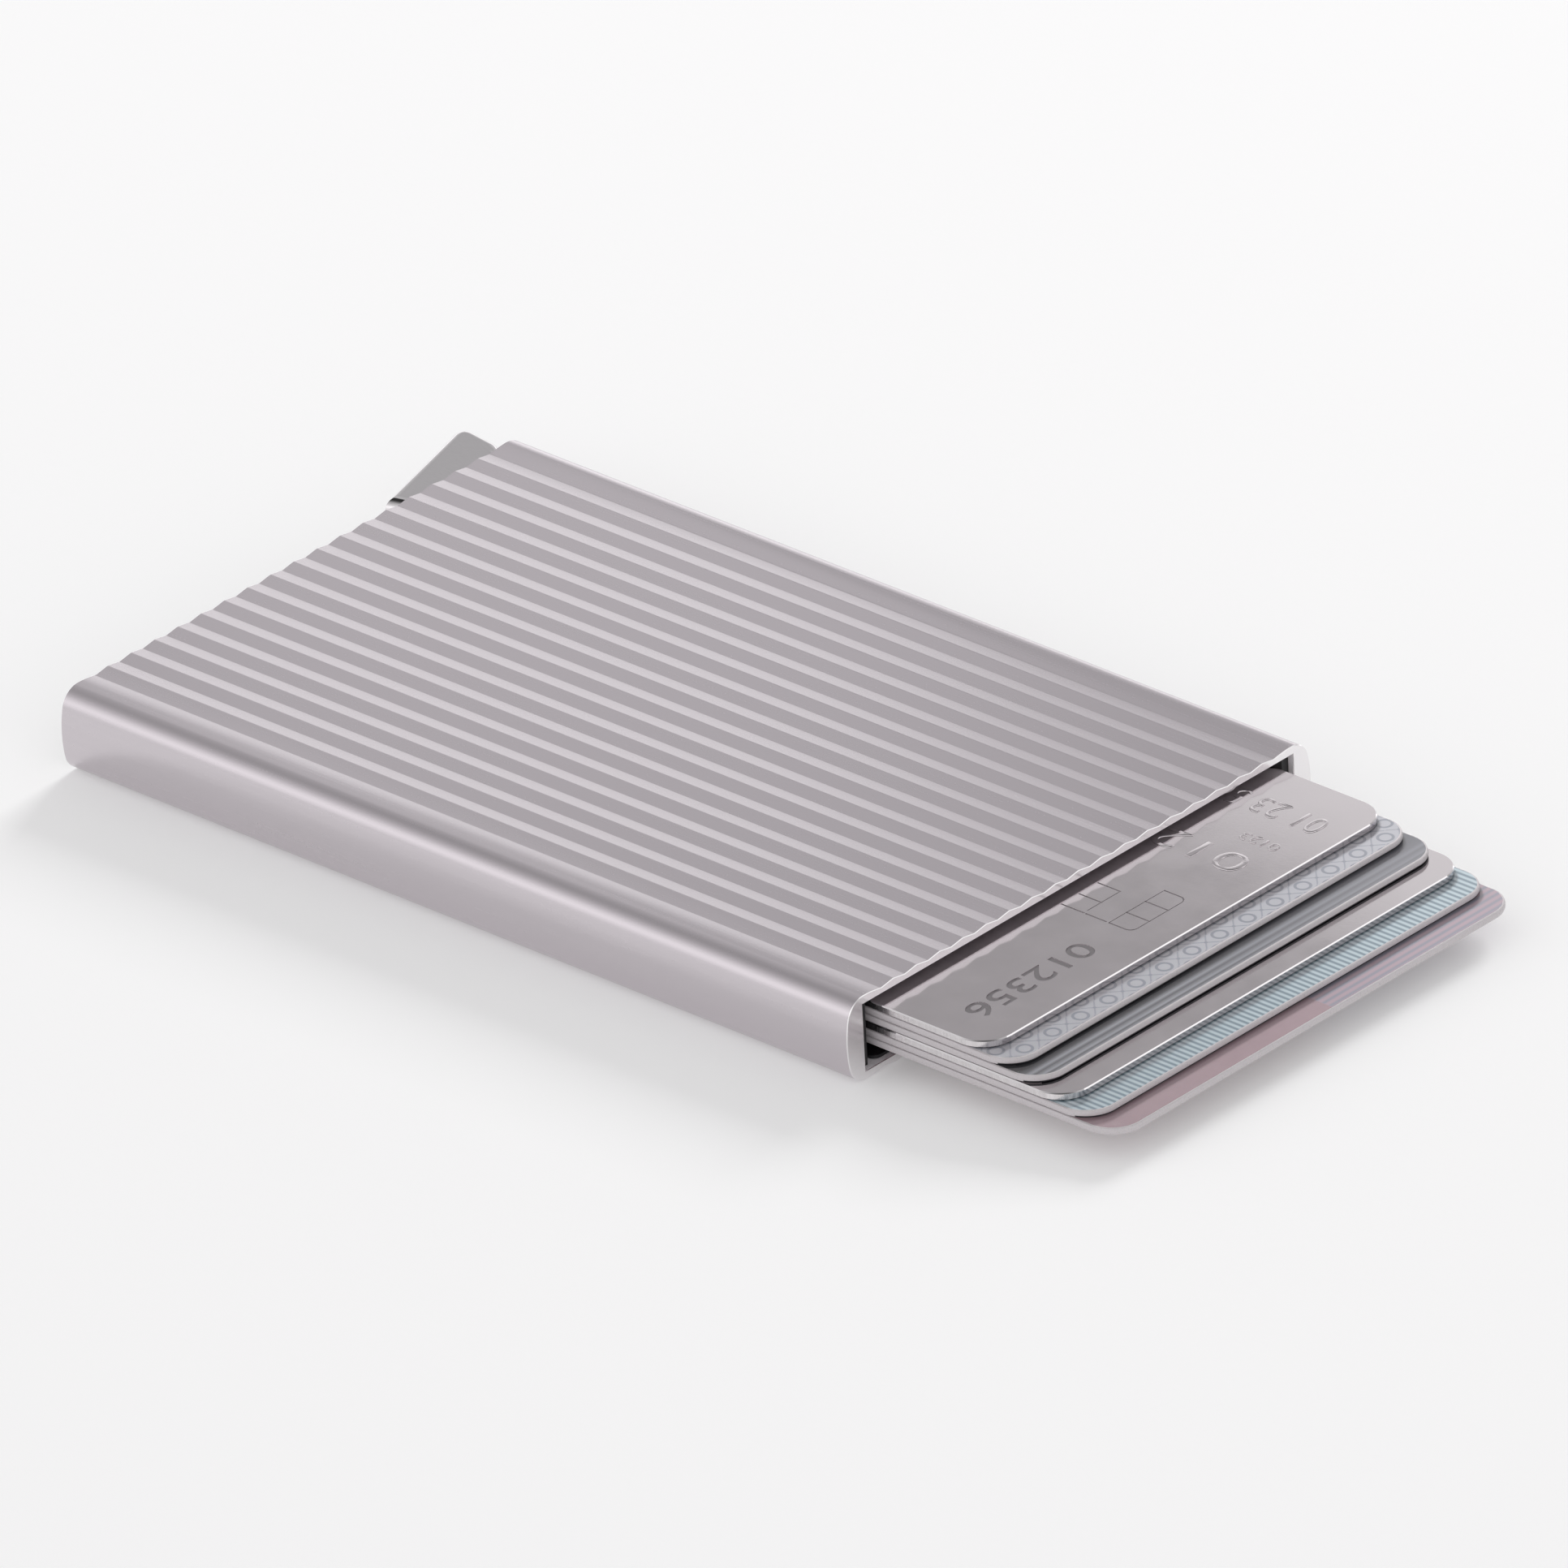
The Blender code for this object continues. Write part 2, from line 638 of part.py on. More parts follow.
def fixed_leg():
    """Where the spring's lower leg runs, as (x, z)."""
    return PIVOT_X - COIL_RADIUS, coil_low()


def moving_leg():
    """Where the spring's upper leg runs, as (x, z)."""
    return PIVOT_X + LEG_LEAD + LEG_BEND, coil_low() + COIL_TURNS * COIL_PITCH


def leg_hole(name, place, low, high):
    """Hole along Y that takes the end of a spring leg."""
    return prism(name, circle(*place, WIRE_RADIUS + LEG_CLEAR, ARC_STEPS * 2), low, high, along="Y")


def coil_points():
    """Centre line of the return spring: a leg in the far block, the coil, a leg in the arm's root."""
    low = coil_low()
    block = PLUG_HALF - PLUG_FAR_BLOCK
    points = [(PIVOT_X - COIL_RADIUS, block + LEG_HOLE_DEPTH - LEG_CLEAR, low)]
    for step in range(round(COIL_TURNS * COIL_POINTS) + 1):
        turn = step / COIL_POINTS
        x = PIVOT_X + COIL_RADIUS * math.cos(math.pi + turn * math.tau)
        y = PIVOT_Y + COIL_RADIUS * math.sin(math.pi + turn * math.tau)
        points.append((x, y, low + turn * COIL_PITCH))
    high = low + COIL_TURNS * COIL_PITCH
    for step in range(BEND_STEPS + 1):
        angle = math.pi / 2 * (1 - step / BEND_STEPS)
        x = PIVOT_X + LEG_LEAD + LEG_BEND * math.cos(angle)
        y = PIVOT_Y - COIL_RADIUS - LEG_BEND * (1 - math.sin(angle))
        points.append((x, y, high))
    root = PIVOT_Y - HUB_RADIUS - ROOT_CLEAR
    points.append((PIVOT_X + LEG_LEAD + LEG_BEND, root - LEG_HOLE_DEPTH + LEG_CLEAR, high))
    return points


def least_gap(points):
    """Least room between stretches of the wire that lie half a turn or more apart."""
    apart = COIL_POINTS // 2
    spans = [math.dist(p, q) for i, p in enumerate(points) for q in points[i + apart :]]
    return min(spans) - 2 * WIRE_RADIUS


def make_spring(material):
    """Torsion spring round the pivot pin, one unbroken wire."""
    curve = bpy.data.curves.new("return_spring", "CURVE")
    curve.dimensions = "3D"
    curve.bevel_depth = WIRE_RADIUS
    curve.bevel_resolution = 1
    curve.use_fill_caps = True
    points = coil_points()
    spline = curve.splines.new("POLY")
    spline.points.add(len(points) - 1)
    for point, place in zip(spline.points, points):
        point.co = (*place, 1.0)
    curve.materials.append(material)
    spring = bpy.data.objects.new("return_spring", curve)
    bpy.context.scene.collection.objects.link(spring)
    print(f"return_spring: least gap to itself {least_gap(points) * 1000:.2f} mm")


def make_buffer(material):
    """Rubber pad between the plug's wall and the arm, which sets the lever's rest."""
    wall = REAR + PLUG_INSET + PLUG_WALL
    longest = tread_reach(CARD_COUNT)
    near = PIVOT_Y - longest + BUFFER_FROM_TIP
    far = near + BUFFER_LENGTH
    back = REAR + ARM_BACK + ARM_TAPER * (PIVOT_Y - far) / longest
    outline = box_corners(wall + SEAT, near, back - SEAT, far)
    prism("stop_buffer", fillet(outline), PLUG_DECK + SEAT, PLUG_DECK + SEAT + BUFFER_HEIGHT, material)


def make_rails(material):
    """Two guide rails beside the stack, with a lead-in at the mouth."""
    for name, side in (("side_rail_near", -1), ("side_rail_far", 1)):
        inner = side * (CARD_WIDTH / 2 + SLIDE_CLEAR)
        outer = side * (CAVITY_WIDTH / 2 - SEAT)
        outline = [
            (LINING_START, inner),
            (LINING_START, outer),
            (LINING_END, outer),
            (LINING_END, inner + side * RAIL_LEAD),
            (LINING_END - 2 * RAIL_LEAD, inner),
        ]
        prism(name, outline, FLOOR + SEAT, CEILING - SEAT, material)


def leaf_places():
    """Where the two brake springs lie across the mouth."""
    from_middle = CARD_WIDTH / 2 - LEAF_FROM_EDGE
    return (("near", -from_middle), ("far", from_middle))


def leaf_start():
    """Rear end of the brake springs."""
    return MOUTH - LEAF_SETBACK - LEAF_LENGTH


def brake_rivet_places():
    """One rivet through the foot of each brake spring."""
    return [(leaf_start() + LEAF_FOOT / 2, y) for _, y in leaf_places()]


def make_liner(material):
    """Thin slippery sheet on the floor of the cavity."""
    half = CARD_WIDTH / 2 + SLIDE_CLEAR - LINER_SIDE
    outline = fillet(box_corners(LINING_START, -half, LINING_END, half, PAD_CORNER))
    liner = prism("floor_liner", outline, FLOOR + SEAT, LINER_HIGH, material)
    holes = cylinders("liner_holes", brake_rivet_places(), BRAKE_RIVET_RADIUS + PIN_CLEAR)
    boolean(liner, holes, "DIFFERENCE")


def leaf_profile(rise):
    """Side view of an arched brake spring: its lower line out and its upper line back."""
    low = LINER_HIGH + SEAT
    shares = LEAF_RISE_SHARES + LEAF_FALL_SHARES
    line = [(leaf_start() + LEAF_LENGTH * along, low + rise * up) for along, up in shares]
    return line + [(x, z + LEAF_THICKNESS) for x, z in reversed(line)]


def make_brake(spring_steel, felt, steel):
    """Two arched springs with friction pads that press the stack near the mouth."""
    pad_high = card_top(CARD_COUNT) - CARD_THICKNESS - SEAT
    pad_low = pad_high - PAD_THICKNESS
    rise = pad_low - SEAT - LEAF_THICKNESS - LINER_HIGH - SEAT
    start = leaf_start()
    crest = start + LEAF_LENGTH * (LEAF_RISE_SHARES[-1][0] + LEAF_FALL_SHARES[0][0]) / 2
    half = LEAF_WIDTH / 2
    for side, y in leaf_places():
        profile = leaf_profile(rise)
        leaf = prism(f"brake_spring_{side}", profile, y - LEAF_WIDTH, y + LEAF_WIDTH, spring_steel, along="Y")
        plan = [
            (start - OVERRUN, y - half, 0),
            (start + LEAF_LENGTH, y - half, LEAF_TIP_RADIUS),
            (start + LEAF_LENGTH, y + half, LEAF_TIP_RADIUS),
            (start - OVERRUN, y + half, 0),
        ]
        boolean(leaf, prism(f"leaf_trim_{side}", fillet(plan), FLOOR, CEILING), "INTERSECT")
        foot = [(start + LEAF_FOOT / 2, y)]
        boolean(leaf, cylinders(f"leaf_hole_{side}", foot, BRAKE_RIVET_RADIUS + PIN_CLEAR), "DIFFERENCE")
        pad = box_corners(crest - PAD_LENGTH / 2, y - half, crest + PAD_LENGTH / 2, y + half, PAD_CORNER)
        prism(f"brake_pad_{side}", fillet(pad), pad_low, pad_high, felt)
    leaf_high = LINER_HIGH + SEAT + LEAF_THICKNESS
    rivet = [
        (0, FLOOR + SEAT),
        (BRAKE_RIVET_RADIUS, FLOOR + SEAT),
        (BRAKE_RIVET_RADIUS, leaf_high + SEAT),
        (BRAKE_RIVET_HEAD, leaf_high + SEAT),
        (BRAKE_RIVET_HEAD / 2, leaf_high + SEAT + BRAKE_RIVET_DOME),
        (0, leaf_high + SEAT + BRAKE_RIVET_DOME),
    ]
    for (side, _), place in zip(leaf_places(), brake_rivet_places()):
        turned(f"brake_rivet_{side}", rivet, [place], steel)


def main():
    """Build every piece."""
    clear_scene()
    aluminium = make_material("anodised_aluminium", (0.56, 0.54, 0.55), 1.0, 0.34)
    polished = make_material("polished_aluminium", (0.72, 0.71, 0.72), 1.0, 0.12)
    black = make_material("black_moulding", (0.018, 0.018, 0.019), 0.0, 0.45)
    steel = make_material("steel", (0.5, 0.5, 0.5), 1.0, 0.3)
    spring_steel = make_material("spring_steel", (0.3, 0.3, 0.31), 1.0, 0.35)
    brass = make_material("brass", (0.72, 0.52, 0.22), 1.0, 0.3)
    rubber = make_material("rubber", (0.03, 0.03, 0.03), 0.0, 0.8)
    felt = make_material("felt", (0.06, 0.06, 0.06), 0.0, 0.95)
    cards = [
        make_material("card_metal", (0.5, 0.48, 0.49), 1.0, 0.35),
        make_material("card_grey_blue", (0.42, 0.46, 0.5), 0.0, 0.4),
        make_material("card_slate", (0.16, 0.19, 0.22), 0.0, 0.4),
        make_material("card_plain_metal", (0.5, 0.48, 0.49), 1.0, 0.35),
        make_material("card_light_blue", (0.42, 0.58, 0.66), 0.0, 0.4),
        make_material("card_pink", (0.5, 0.36, 0.4), 0.0, 0.4),
    ]
    make_tube(aluminium)
    make_cards(cards)
    make_plug(black)
    make_cover(spring_steel)
    make_pivot(steel, brass)
    make_tab(polished)
    make_arm(black, steel)
    make_spring(spring_steel)
    make_buffer(rubber)
    make_rails(black)
    make_liner(black)
    make_brake(spring_steel, felt, steel)


main()
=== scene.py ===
# %% [markdown]
# A pop up card holder: a flat aluminium sleeve, ridged along its length, with six cards that stand
# fanned out of its mouth and a polished thumb tab at its rear corner. This lesson dresses the
# imported model of it. The imported nodes say where everything is. The pieces that show most, and the
# spring, are modelled again. The others only get their finish. All places are
# in metres, +X runs along the sleeve to its mouth, +Y across it, +Z up.

# %% Open the imported model
import json
import math

import bmesh
import bpy
from mathutils import Matrix, Vector


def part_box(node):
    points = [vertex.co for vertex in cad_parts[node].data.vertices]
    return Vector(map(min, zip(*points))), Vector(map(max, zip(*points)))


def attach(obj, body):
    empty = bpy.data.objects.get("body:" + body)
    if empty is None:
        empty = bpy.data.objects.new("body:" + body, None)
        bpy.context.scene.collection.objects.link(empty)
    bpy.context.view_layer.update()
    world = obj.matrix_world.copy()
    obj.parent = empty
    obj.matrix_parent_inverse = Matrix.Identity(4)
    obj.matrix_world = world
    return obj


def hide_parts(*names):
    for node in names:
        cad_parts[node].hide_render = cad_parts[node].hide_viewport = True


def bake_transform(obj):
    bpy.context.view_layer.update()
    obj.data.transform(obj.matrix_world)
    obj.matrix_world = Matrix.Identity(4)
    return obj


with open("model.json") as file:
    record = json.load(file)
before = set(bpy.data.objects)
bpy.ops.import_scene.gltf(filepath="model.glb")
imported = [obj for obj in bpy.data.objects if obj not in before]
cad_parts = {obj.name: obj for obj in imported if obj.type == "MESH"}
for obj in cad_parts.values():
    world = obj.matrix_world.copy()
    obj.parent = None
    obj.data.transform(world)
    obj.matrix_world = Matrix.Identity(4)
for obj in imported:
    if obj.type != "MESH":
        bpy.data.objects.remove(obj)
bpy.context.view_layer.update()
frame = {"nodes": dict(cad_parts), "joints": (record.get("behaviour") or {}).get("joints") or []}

MM = 0.001
nodes = frame["nodes"]

# %% [markdown]
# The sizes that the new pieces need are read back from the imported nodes, so nothing can drift from
# them. A few sizes of the sleeve's outline can't be read from a box, and are given here as the
# drawing has them.

# %% Sizes of the sleeve and the cards
tube_low, tube_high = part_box("tube")
rail_low, rail_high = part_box("side_rail_far")

REAR = tube_low.x
MOUTH = tube_high.x
TOP = tube_high.z
MIDDLE = TOP / 2
SEAT = 0.05 * MM
CAVITY_HALF = rail_high.y + SEAT
FLOOR = rail_low.z - SEAT
CEILING = rail_high.z + SEAT

RIDGES = 17
RIDGE_PITCH = 3.0776 * MM
RIDGE_HEIGHT = 0.25 * MM
RIM_CREST = 28.5 * MM
CORNER_RADIUS = 2.2 * MM
SIDE_RADIUS = 12 * MM
END_CHAMFER = 0.07 * MM
CARDS = 6

print("sleeve:", [round(value / MM, 1) for value in tube_high - tube_low], "mm")

# %% [markdown]
# The photograph was taken from far away with a long lens, so lines that are parallel on the object
# stay nearly parallel in the picture. A camera three metres off with an 800 mm lens gives the same
# calm view. It is turned and tipped about a point in the middle of the object, and shifted a few
# millimetres sideways and up.

# %% Camera
VIEW_TURN = math.radians(43.508)
VIEW_DROP = math.radians(28.719)
VIEW_ROLL = math.radians(-3.018)
VIEW_FAR = 3095.3 * MM
VIEW_AIM = Vector((17.5, 0, 4.4)) * MM
VIEW_SIDE = -4.058 * MM
VIEW_LIFT = 2.391 * MM
LENS = 796.5
FILM = 36
SIGHT = 20

ahead = Vector((
    -math.sin(VIEW_TURN) * math.cos(VIEW_DROP),
    math.cos(VIEW_TURN) * math.cos(VIEW_DROP),
    -math.sin(VIEW_DROP),
))
level_right = Vector((math.cos(VIEW_TURN), math.sin(VIEW_TURN), 0))
level_up = level_right.cross(ahead)
right = level_right * math.cos(VIEW_ROLL) + level_up * math.sin(VIEW_ROLL)
up = level_up * math.cos(VIEW_ROLL) - level_right * math.sin(VIEW_ROLL)

camera_data = bpy.data.cameras.new("camera")
camera_data.lens = LENS
camera_data.sensor_width = FILM
camera_data.clip_end = SIGHT
camera = bpy.data.objects.new("camera", camera_data)
bpy.context.scene.collection.objects.link(camera)
place = VIEW_AIM - ahead * VIEW_FAR + right * VIEW_SIDE + up * VIEW_LIFT
camera.matrix_world = Matrix.Translation(place) @ Matrix((right, up, -ahead)).transposed().to_4x4()
bpy.context.scene.camera = camera
bpy.context.scene.view_settings.view_transform = "Standard"
print("camera stands at", [round(value, 3) for value in place])

# %% [markdown]
# A few short helpers do what the hand does in edit mode: open a piece, pick some of its points,
# edges or faces by where they are, and close it again. Blender's operators act on all that is
# selected, and the loaded nodes start out selected, so every helper first lets go of everything.

# %% Helpers for edit mode
TINY = 0.001 * MM


def close_edit():
    """Leave edit mode and select nothing."""
    if bpy.context.object and bpy.context.object.mode == "EDIT":
        bpy.ops.object.mode_set(mode="OBJECT")
    bpy.ops.object.select_all(action="DESELECT")


def take(piece):
    """Make one piece the only selected and active one."""
    close_edit()
    piece.select_set(True)
    bpy.context.view_layer.objects.active = piece


def edit(piece):
    """Open one piece in edit mode with nothing picked."""
    take(piece)
    bpy.ops.object.mode_set(mode="EDIT")
    bpy.ops.mesh.select_all(action="DESELECT")


def pick(piece, kind, test):
    """Pick the points, edges or faces whose middle (and normal, for a face) pass a test."""
    bpy.ops.mesh.select_mode(type=kind)
    bpy.ops.mesh.select_all(action="DESELECT")
    bm = bmesh.from_edit_mesh(piece.data)
    items = {"VERT": bm.verts, "EDGE": bm.edges, "FACE": bm.faces}[kind]
    bm.normal_update()
    for item in items:
        if kind == "VERT":
            passed = test(item.co)
        elif kind == "EDGE":
            passed = test(item.verts[0].co, item.verts[1].co)
        else:
            passed = test(item.calc_center_median(), item.normal)
        if passed:
            item.select_set(True)
    bm.select_flush_mode()
    bmesh.update_edit_mesh(piece.data)


print("places are the same within", TINY / MM, "mm")

# %% [markdown]
# More helpers make a new piece from one of Blender's primitives, give it a modifier or cut it with
# another piece. A modifier is applied at once, so that what is picked next is the mesh as it
# stands.

# %% Helpers for new pieces
CUTTER = "EXACT"


def new_piece(name, add, **settings):
    """Add a primitive with its place in its mesh, and give it its name."""
    close_edit()
    add(**settings)
    piece = bpy.context.active_object
    piece.name = name
    piece.data.name = name
    bpy.ops.object.transform_apply(location=True, rotation=True, scale=True)
    return piece


def new_block(name, low, high):
    """A box between two corners, to be shaped further."""
    size = Vector(high) - Vector(low)
    middle = (Vector(high) + Vector(low)) / 2
    return new_piece(name, bpy.ops.mesh.primitive_cube_add, size=1, location=middle, scale=size)


def apply_modifier(piece, kind, **settings):
    """Add a modifier, set it and apply it."""
    take(piece)
    modifier = piece.modifiers.new(kind.lower(), kind)
    for key, value in settings.items():
        setattr(modifier, key, value)
    bpy.ops.object.modifier_apply(modifier=modifier.name)


def cut(piece, cutter, operation="DIFFERENCE"):
    """Cut, join or trim a piece with another one, which is used up."""
    apply_modifier(piece, "BOOLEAN", object=cutter, operation=operation, solver=CUTTER)
    mesh = cutter.data
    bpy.data.objects.remove(cutter)
    bpy.data.meshes.remove(mesh)


def smooth(piece, degrees):
    """Shade a piece smooth up to an edge angle, its large flat faces leading."""
    take(piece)
    bpy.ops.object.shade_smooth_by_angle(angle=math.radians(degrees))
    apply_modifier(piece, "WEIGHTED_NORMAL", keep_sharp=True)


def report(piece):
    """Print a piece's size and how many triangles it has."""
    triangles = sum(len(face.vertices) - 2 for face in piece.data.polygons)
    size = [round(value / MM, 2) for value in piece.dimensions]
    print(f"{piece.name}: {size} mm, {triangles} triangles")


print("cuts are made by the", CUTTER.lower(), "solver")

# %% [markdown]
# The sleeve is an aluminium extrusion, so its whole shape is one outline pulled along its length.
# Blocks could be joined instead, but one outline keeps every ridge and wall the same from end to
# end. It is drawn as a die maker would: one ridge, 17 copies of it side by side, then the rim, the
# tight corner and the bulged side, and the same again below. The ridges are plain facets, because
# the photograph shows each flank in one even tone. Only their crests and valleys are broken a
# little.

# %% Sleeve: the ridges as a line
CREST_BREAK = 0.09 * MM
VALLEY_BREAK = 0.03 * MM
FIELD_HALF = RIDGES * RIDGE_PITCH / 2

tube = new_piece(
    "sleeve_tube",
    bpy.ops.mesh.primitive_plane_add,
    size=RIDGE_PITCH,
    location=(REAR + RIDGE_PITCH / 2, RIDGE_PITCH / 2 - FIELD_HALF, TOP - RIDGE_HEIGHT),
)
edit(tube)
pick(tube, "VERT", lambda co: co.x > REAR + TINY)
bpy.ops.mesh.delete(type="VERT")
bpy.ops.mesh.select_all(action="SELECT")
bpy.ops.mesh.subdivide(number_cuts=1)
crest = RIDGE_PITCH / 2 - FIELD_HALF
pick(tube, "VERT", lambda co: abs(co.y - crest) < TINY)
bpy.ops.transform.translate(value=(0, 0, RIDGE_HEIGHT))
bpy.ops.mesh.bevel(offset=CREST_BREAK, segments=3, affect="VERTICES")
apply_modifier(
    tube,
    "ARRAY",
    count=RIDGES,
    use_relative_offset=False,
    use_constant_offset=True,
    constant_offset_displace=(0, RIDGE_PITCH, 0),
    use_merge_vertices=True,
    merge_threshold=TINY,
)
print("ridge line:", len(tube.data.vertices), "points")

# %% [markdown]
# The rims beside the ridges are smooth. Each rises from the last valley as steeply as a ridge, lies
# down level in a soft curve, and turns down over a tight arc into the side, which bulges with a
# large radius. A point is extruded along the rim and then spun round the two centres, which gives
# true arcs. The lower half is a mirror image.

# %% Sleeve: rims, corners and sides
RIM_STEPS = 10
CORNER_STEPS = 16
SIDE_STEPS = 6
SIDE_CENTRE = tube_high.y - SIDE_RADIUS
corner_lift = MIDDLE - CORNER_RADIUS
CORNER_CENTRE = SIDE_CENTRE + math.sqrt((SIDE_RADIUS - CORNER_RADIUS) ** 2 - corner_lift**2)
side_angle = math.asin(corner_lift / (SIDE_RADIUS - CORNER_RADIUS))


def rim_height(across):
    """Height of the rim's curve: a flank's slope that fades to level."""
    share = (across - FIELD_HALF) / (RIM_CREST - FIELD_HALF)
    return TOP - RIDGE_HEIGHT * (1 - 1.5 * share + 0.5 * share**3)


def draw_point(side, across, height, to_across, to_height):
    """Extrude the picked point along the outline."""
    step = (0, side * (to_across - across), to_height - height)
    bpy.ops.mesh.extrude_vertices_move(TRANSFORM_OT_translate={"value": step})


edit(tube)
for side in (-1, 1):
    pick(tube, "VERT", lambda co: abs(co.y - side * FIELD_HALF) < TINY)
    for step in range(RIM_STEPS):
        here = FIELD_HALF + (RIM_CREST - FIELD_HALF) * step / RIM_STEPS
        there = FIELD_HALF + (RIM_CREST - FIELD_HALF) * (step + 1) / RIM_STEPS
        draw_point(side, here, rim_height(here), there, rim_height(there))
    draw_point(side, RIM_CREST, TOP, CORNER_CENTRE, TOP)
    bpy.ops.mesh.spin(
        steps=CORNER_STEPS,
        angle=math.pi / 2 - side_angle,
        center=(REAR, side * CORNER_CENTRE, TOP - CORNER_RADIUS),
        axis=(side, 0, 0),
    )
    bpy.ops.mesh.spin(
        steps=SIDE_STEPS,
        angle=side_angle,
        center=(REAR, side * SIDE_CENTRE, MIDDLE),
        axis=(side, 0, 0),
    )
pick(tube, "VERT", lambda co: co.z < TOP - RIDGE_HEIGHT + TINY and abs(co.y) < FIELD_HALF - TINY)
bpy.ops.mesh.bevel(offset=VALLEY_BREAK, segments=1, affect="VERTICES")
close_edit()
print("half outline reaches", round(max(v.co.y for v in tube.data.vertices) / MM, 3), "mm")

# %% Sleeve: mirror, pull and close
middle_mark = bpy.data.objects.new("middle_mark", None)
middle_mark.location = (0, 0, MIDDLE)
bpy.context.scene.collection.objects.link(middle_mark)
apply_modifier(
    tube,
    "MIRROR",
    use_axis=(False, False, True),
    mirror_object=middle_mark,
    use_mirror_merge=True,
    merge_threshold=2 * TINY,
)
bpy.data.objects.remove(middle_mark)
edit(tube)
bpy.ops.mesh.select_mode(type="EDGE")
bpy.ops.mesh.select_all(action="SELECT")
bpy.ops.mesh.extrude_edges_move(TRANSFORM_OT_translate={"value": (MOUTH - REAR, 0, 0)})
for end in (REAR, MOUTH):
    pick(tube, "EDGE", lambda a, b: abs(a.x - end) < TINY and abs(b.x - end) < TINY)
    bpy.ops.mesh.edge_face_add()
bpy.ops.mesh.select_all(action="SELECT")
bpy.ops.mesh.normals_make_consistent(inside=False)
print("closed outline pulled to", round((MOUTH - REAR) / MM, 2), "mm")

# %% [markdown]
# Both ends are faced bright after sawing, which gives the mouth its row of small pale arcs: the
# wall's end under the ridges. Its edge is broken with a fine bevel on the end loops. The square
# cavity could be a second outline inside the first, but it is cut with a block whose ends flare a
# little, so that one cut breaks the inner edges too.

# %% Sleeve: chamfered ends and the cavity
INNER_BREAK = 0.07 * MM
CUT_OVER = 1 * MM
FACING = 0.95

pick(tube, "EDGE", lambda a, b: abs(a.x - b.x) < TINY)
bpy.ops.mesh.bevel(offset=END_CHAMFER, segments=1, affect="EDGES", clamp_overlap=False)
close_edit()
cavity = new_block(
    "cavity_cutter",
    (REAR + INNER_BREAK, -CAVITY_HALF, FLOOR),
    (MOUTH - INNER_BREAK, CAVITY_HALF, CEILING),
)
edit(cavity)
flare_reach = INNER_BREAK + CUT_OVER
flare = (1, 1 + flare_reach / CAVITY_HALF, 1 + 2 * flare_reach / (CEILING - FLOOR))
for end in (-1, 1):
    pick(cavity, "FACE", lambda co, normal: normal.x * end > FACING)
    bpy.ops.mesh.extrude_region_move(TRANSFORM_OT_translate={"value": (end * flare_reach, 0, 0)})
    bpy.ops.transform.resize(value=flare, center_override=(0, 0, (FLOOR + CEILING) / 2))
close_edit()
cut(tube, cavity)
edit(tube)
bpy.ops.mesh.select_all(action="SELECT")
bpy.ops.mesh.remove_doubles(threshold=TINY)
close_edit()
smooth(tube, degrees=32)
report(tube)

# %% [markdown]
# The thumb tab is a wedge that stands out of the rear end. It could be cut from a block with
# slanting planes, but an outline is easier to fit. It starts as a flat face with eight corners,
# moved to the wedge's corners, which are given in millimetres out of the sleeve's rear end and
# along from the pivot. The two corners at its tip are rounded, the face is pulled up, and its edges
# get a soft rim, which catches the lamps.

# %% Thumb tab: the wedge
lever = next(joint for joint in frame["joints"] if joint["name"] == "lever_turn")
PIVOT = Vector(lever["pos_m"])
tab_low, tab_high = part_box("thumb_tab")
TAB_RIM = 0.9 * MM
TAB_ROLL = 1.4 * MM
HEEL_RADIUS = 2.0 * MM
TIP_RADIUS = 1.4 * MM
HUB_RADIUS = 3.1 * MM


def tab_corner(out, along):
    """A corner of the wedge, in millimetres out of the rear end and along from the pivot."""
    return Vector((REAR - out * MM, PIVOT.y + along * MM))


nose = tab_corner(2.88, -8.25)
tip = tab_corner(7.37, 6.95)
heel = tab_corner(1.05, 6.05)
neck = tab_corner(0.7, 3.05)
wall = tab_corner(-1.0, 3.05)
root = tab_corner(-1.75, -HUB_RADIUS / MM)
slope = math.atan2(nose.x - tip.x, tip.y - nose.y)
tab_outline = (
    nose,
    Vector((root.x, nose.y + (root.x - nose.x) * math.tan(slope))),
    root,
    Vector((wall.x, root.y)),
    wall,
    neck,
    heel,
    tip,
)


def new_outline(name, corners, height):
    """A flat face with the corners of an outline, from a round one with as many points."""
    piece = new_piece(
        name, bpy.ops.mesh.primitive_circle_add, vertices=len(corners), fill_type="NGON", radius=MM
    )
    loop = [piece.data.loops[i].vertex_index for i in piece.data.polygons[0].loop_indices]
    for index, corner in zip(loop, corners):
        piece.data.vertices[index].co = (corner.x, corner.y, height)
    return piece


def round_corner(piece, corner, before, after, radius, segments):
    """Round one corner of a flat outline, which is open in edit mode."""
    opening = (before - corner).angle(after - corner)
    pick(piece, "VERT", lambda co: (co.xy - corner).length < TINY)
    bpy.ops.mesh.bevel(offset=radius / math.tan(opening / 2), segments=segments, affect="VERTICES")


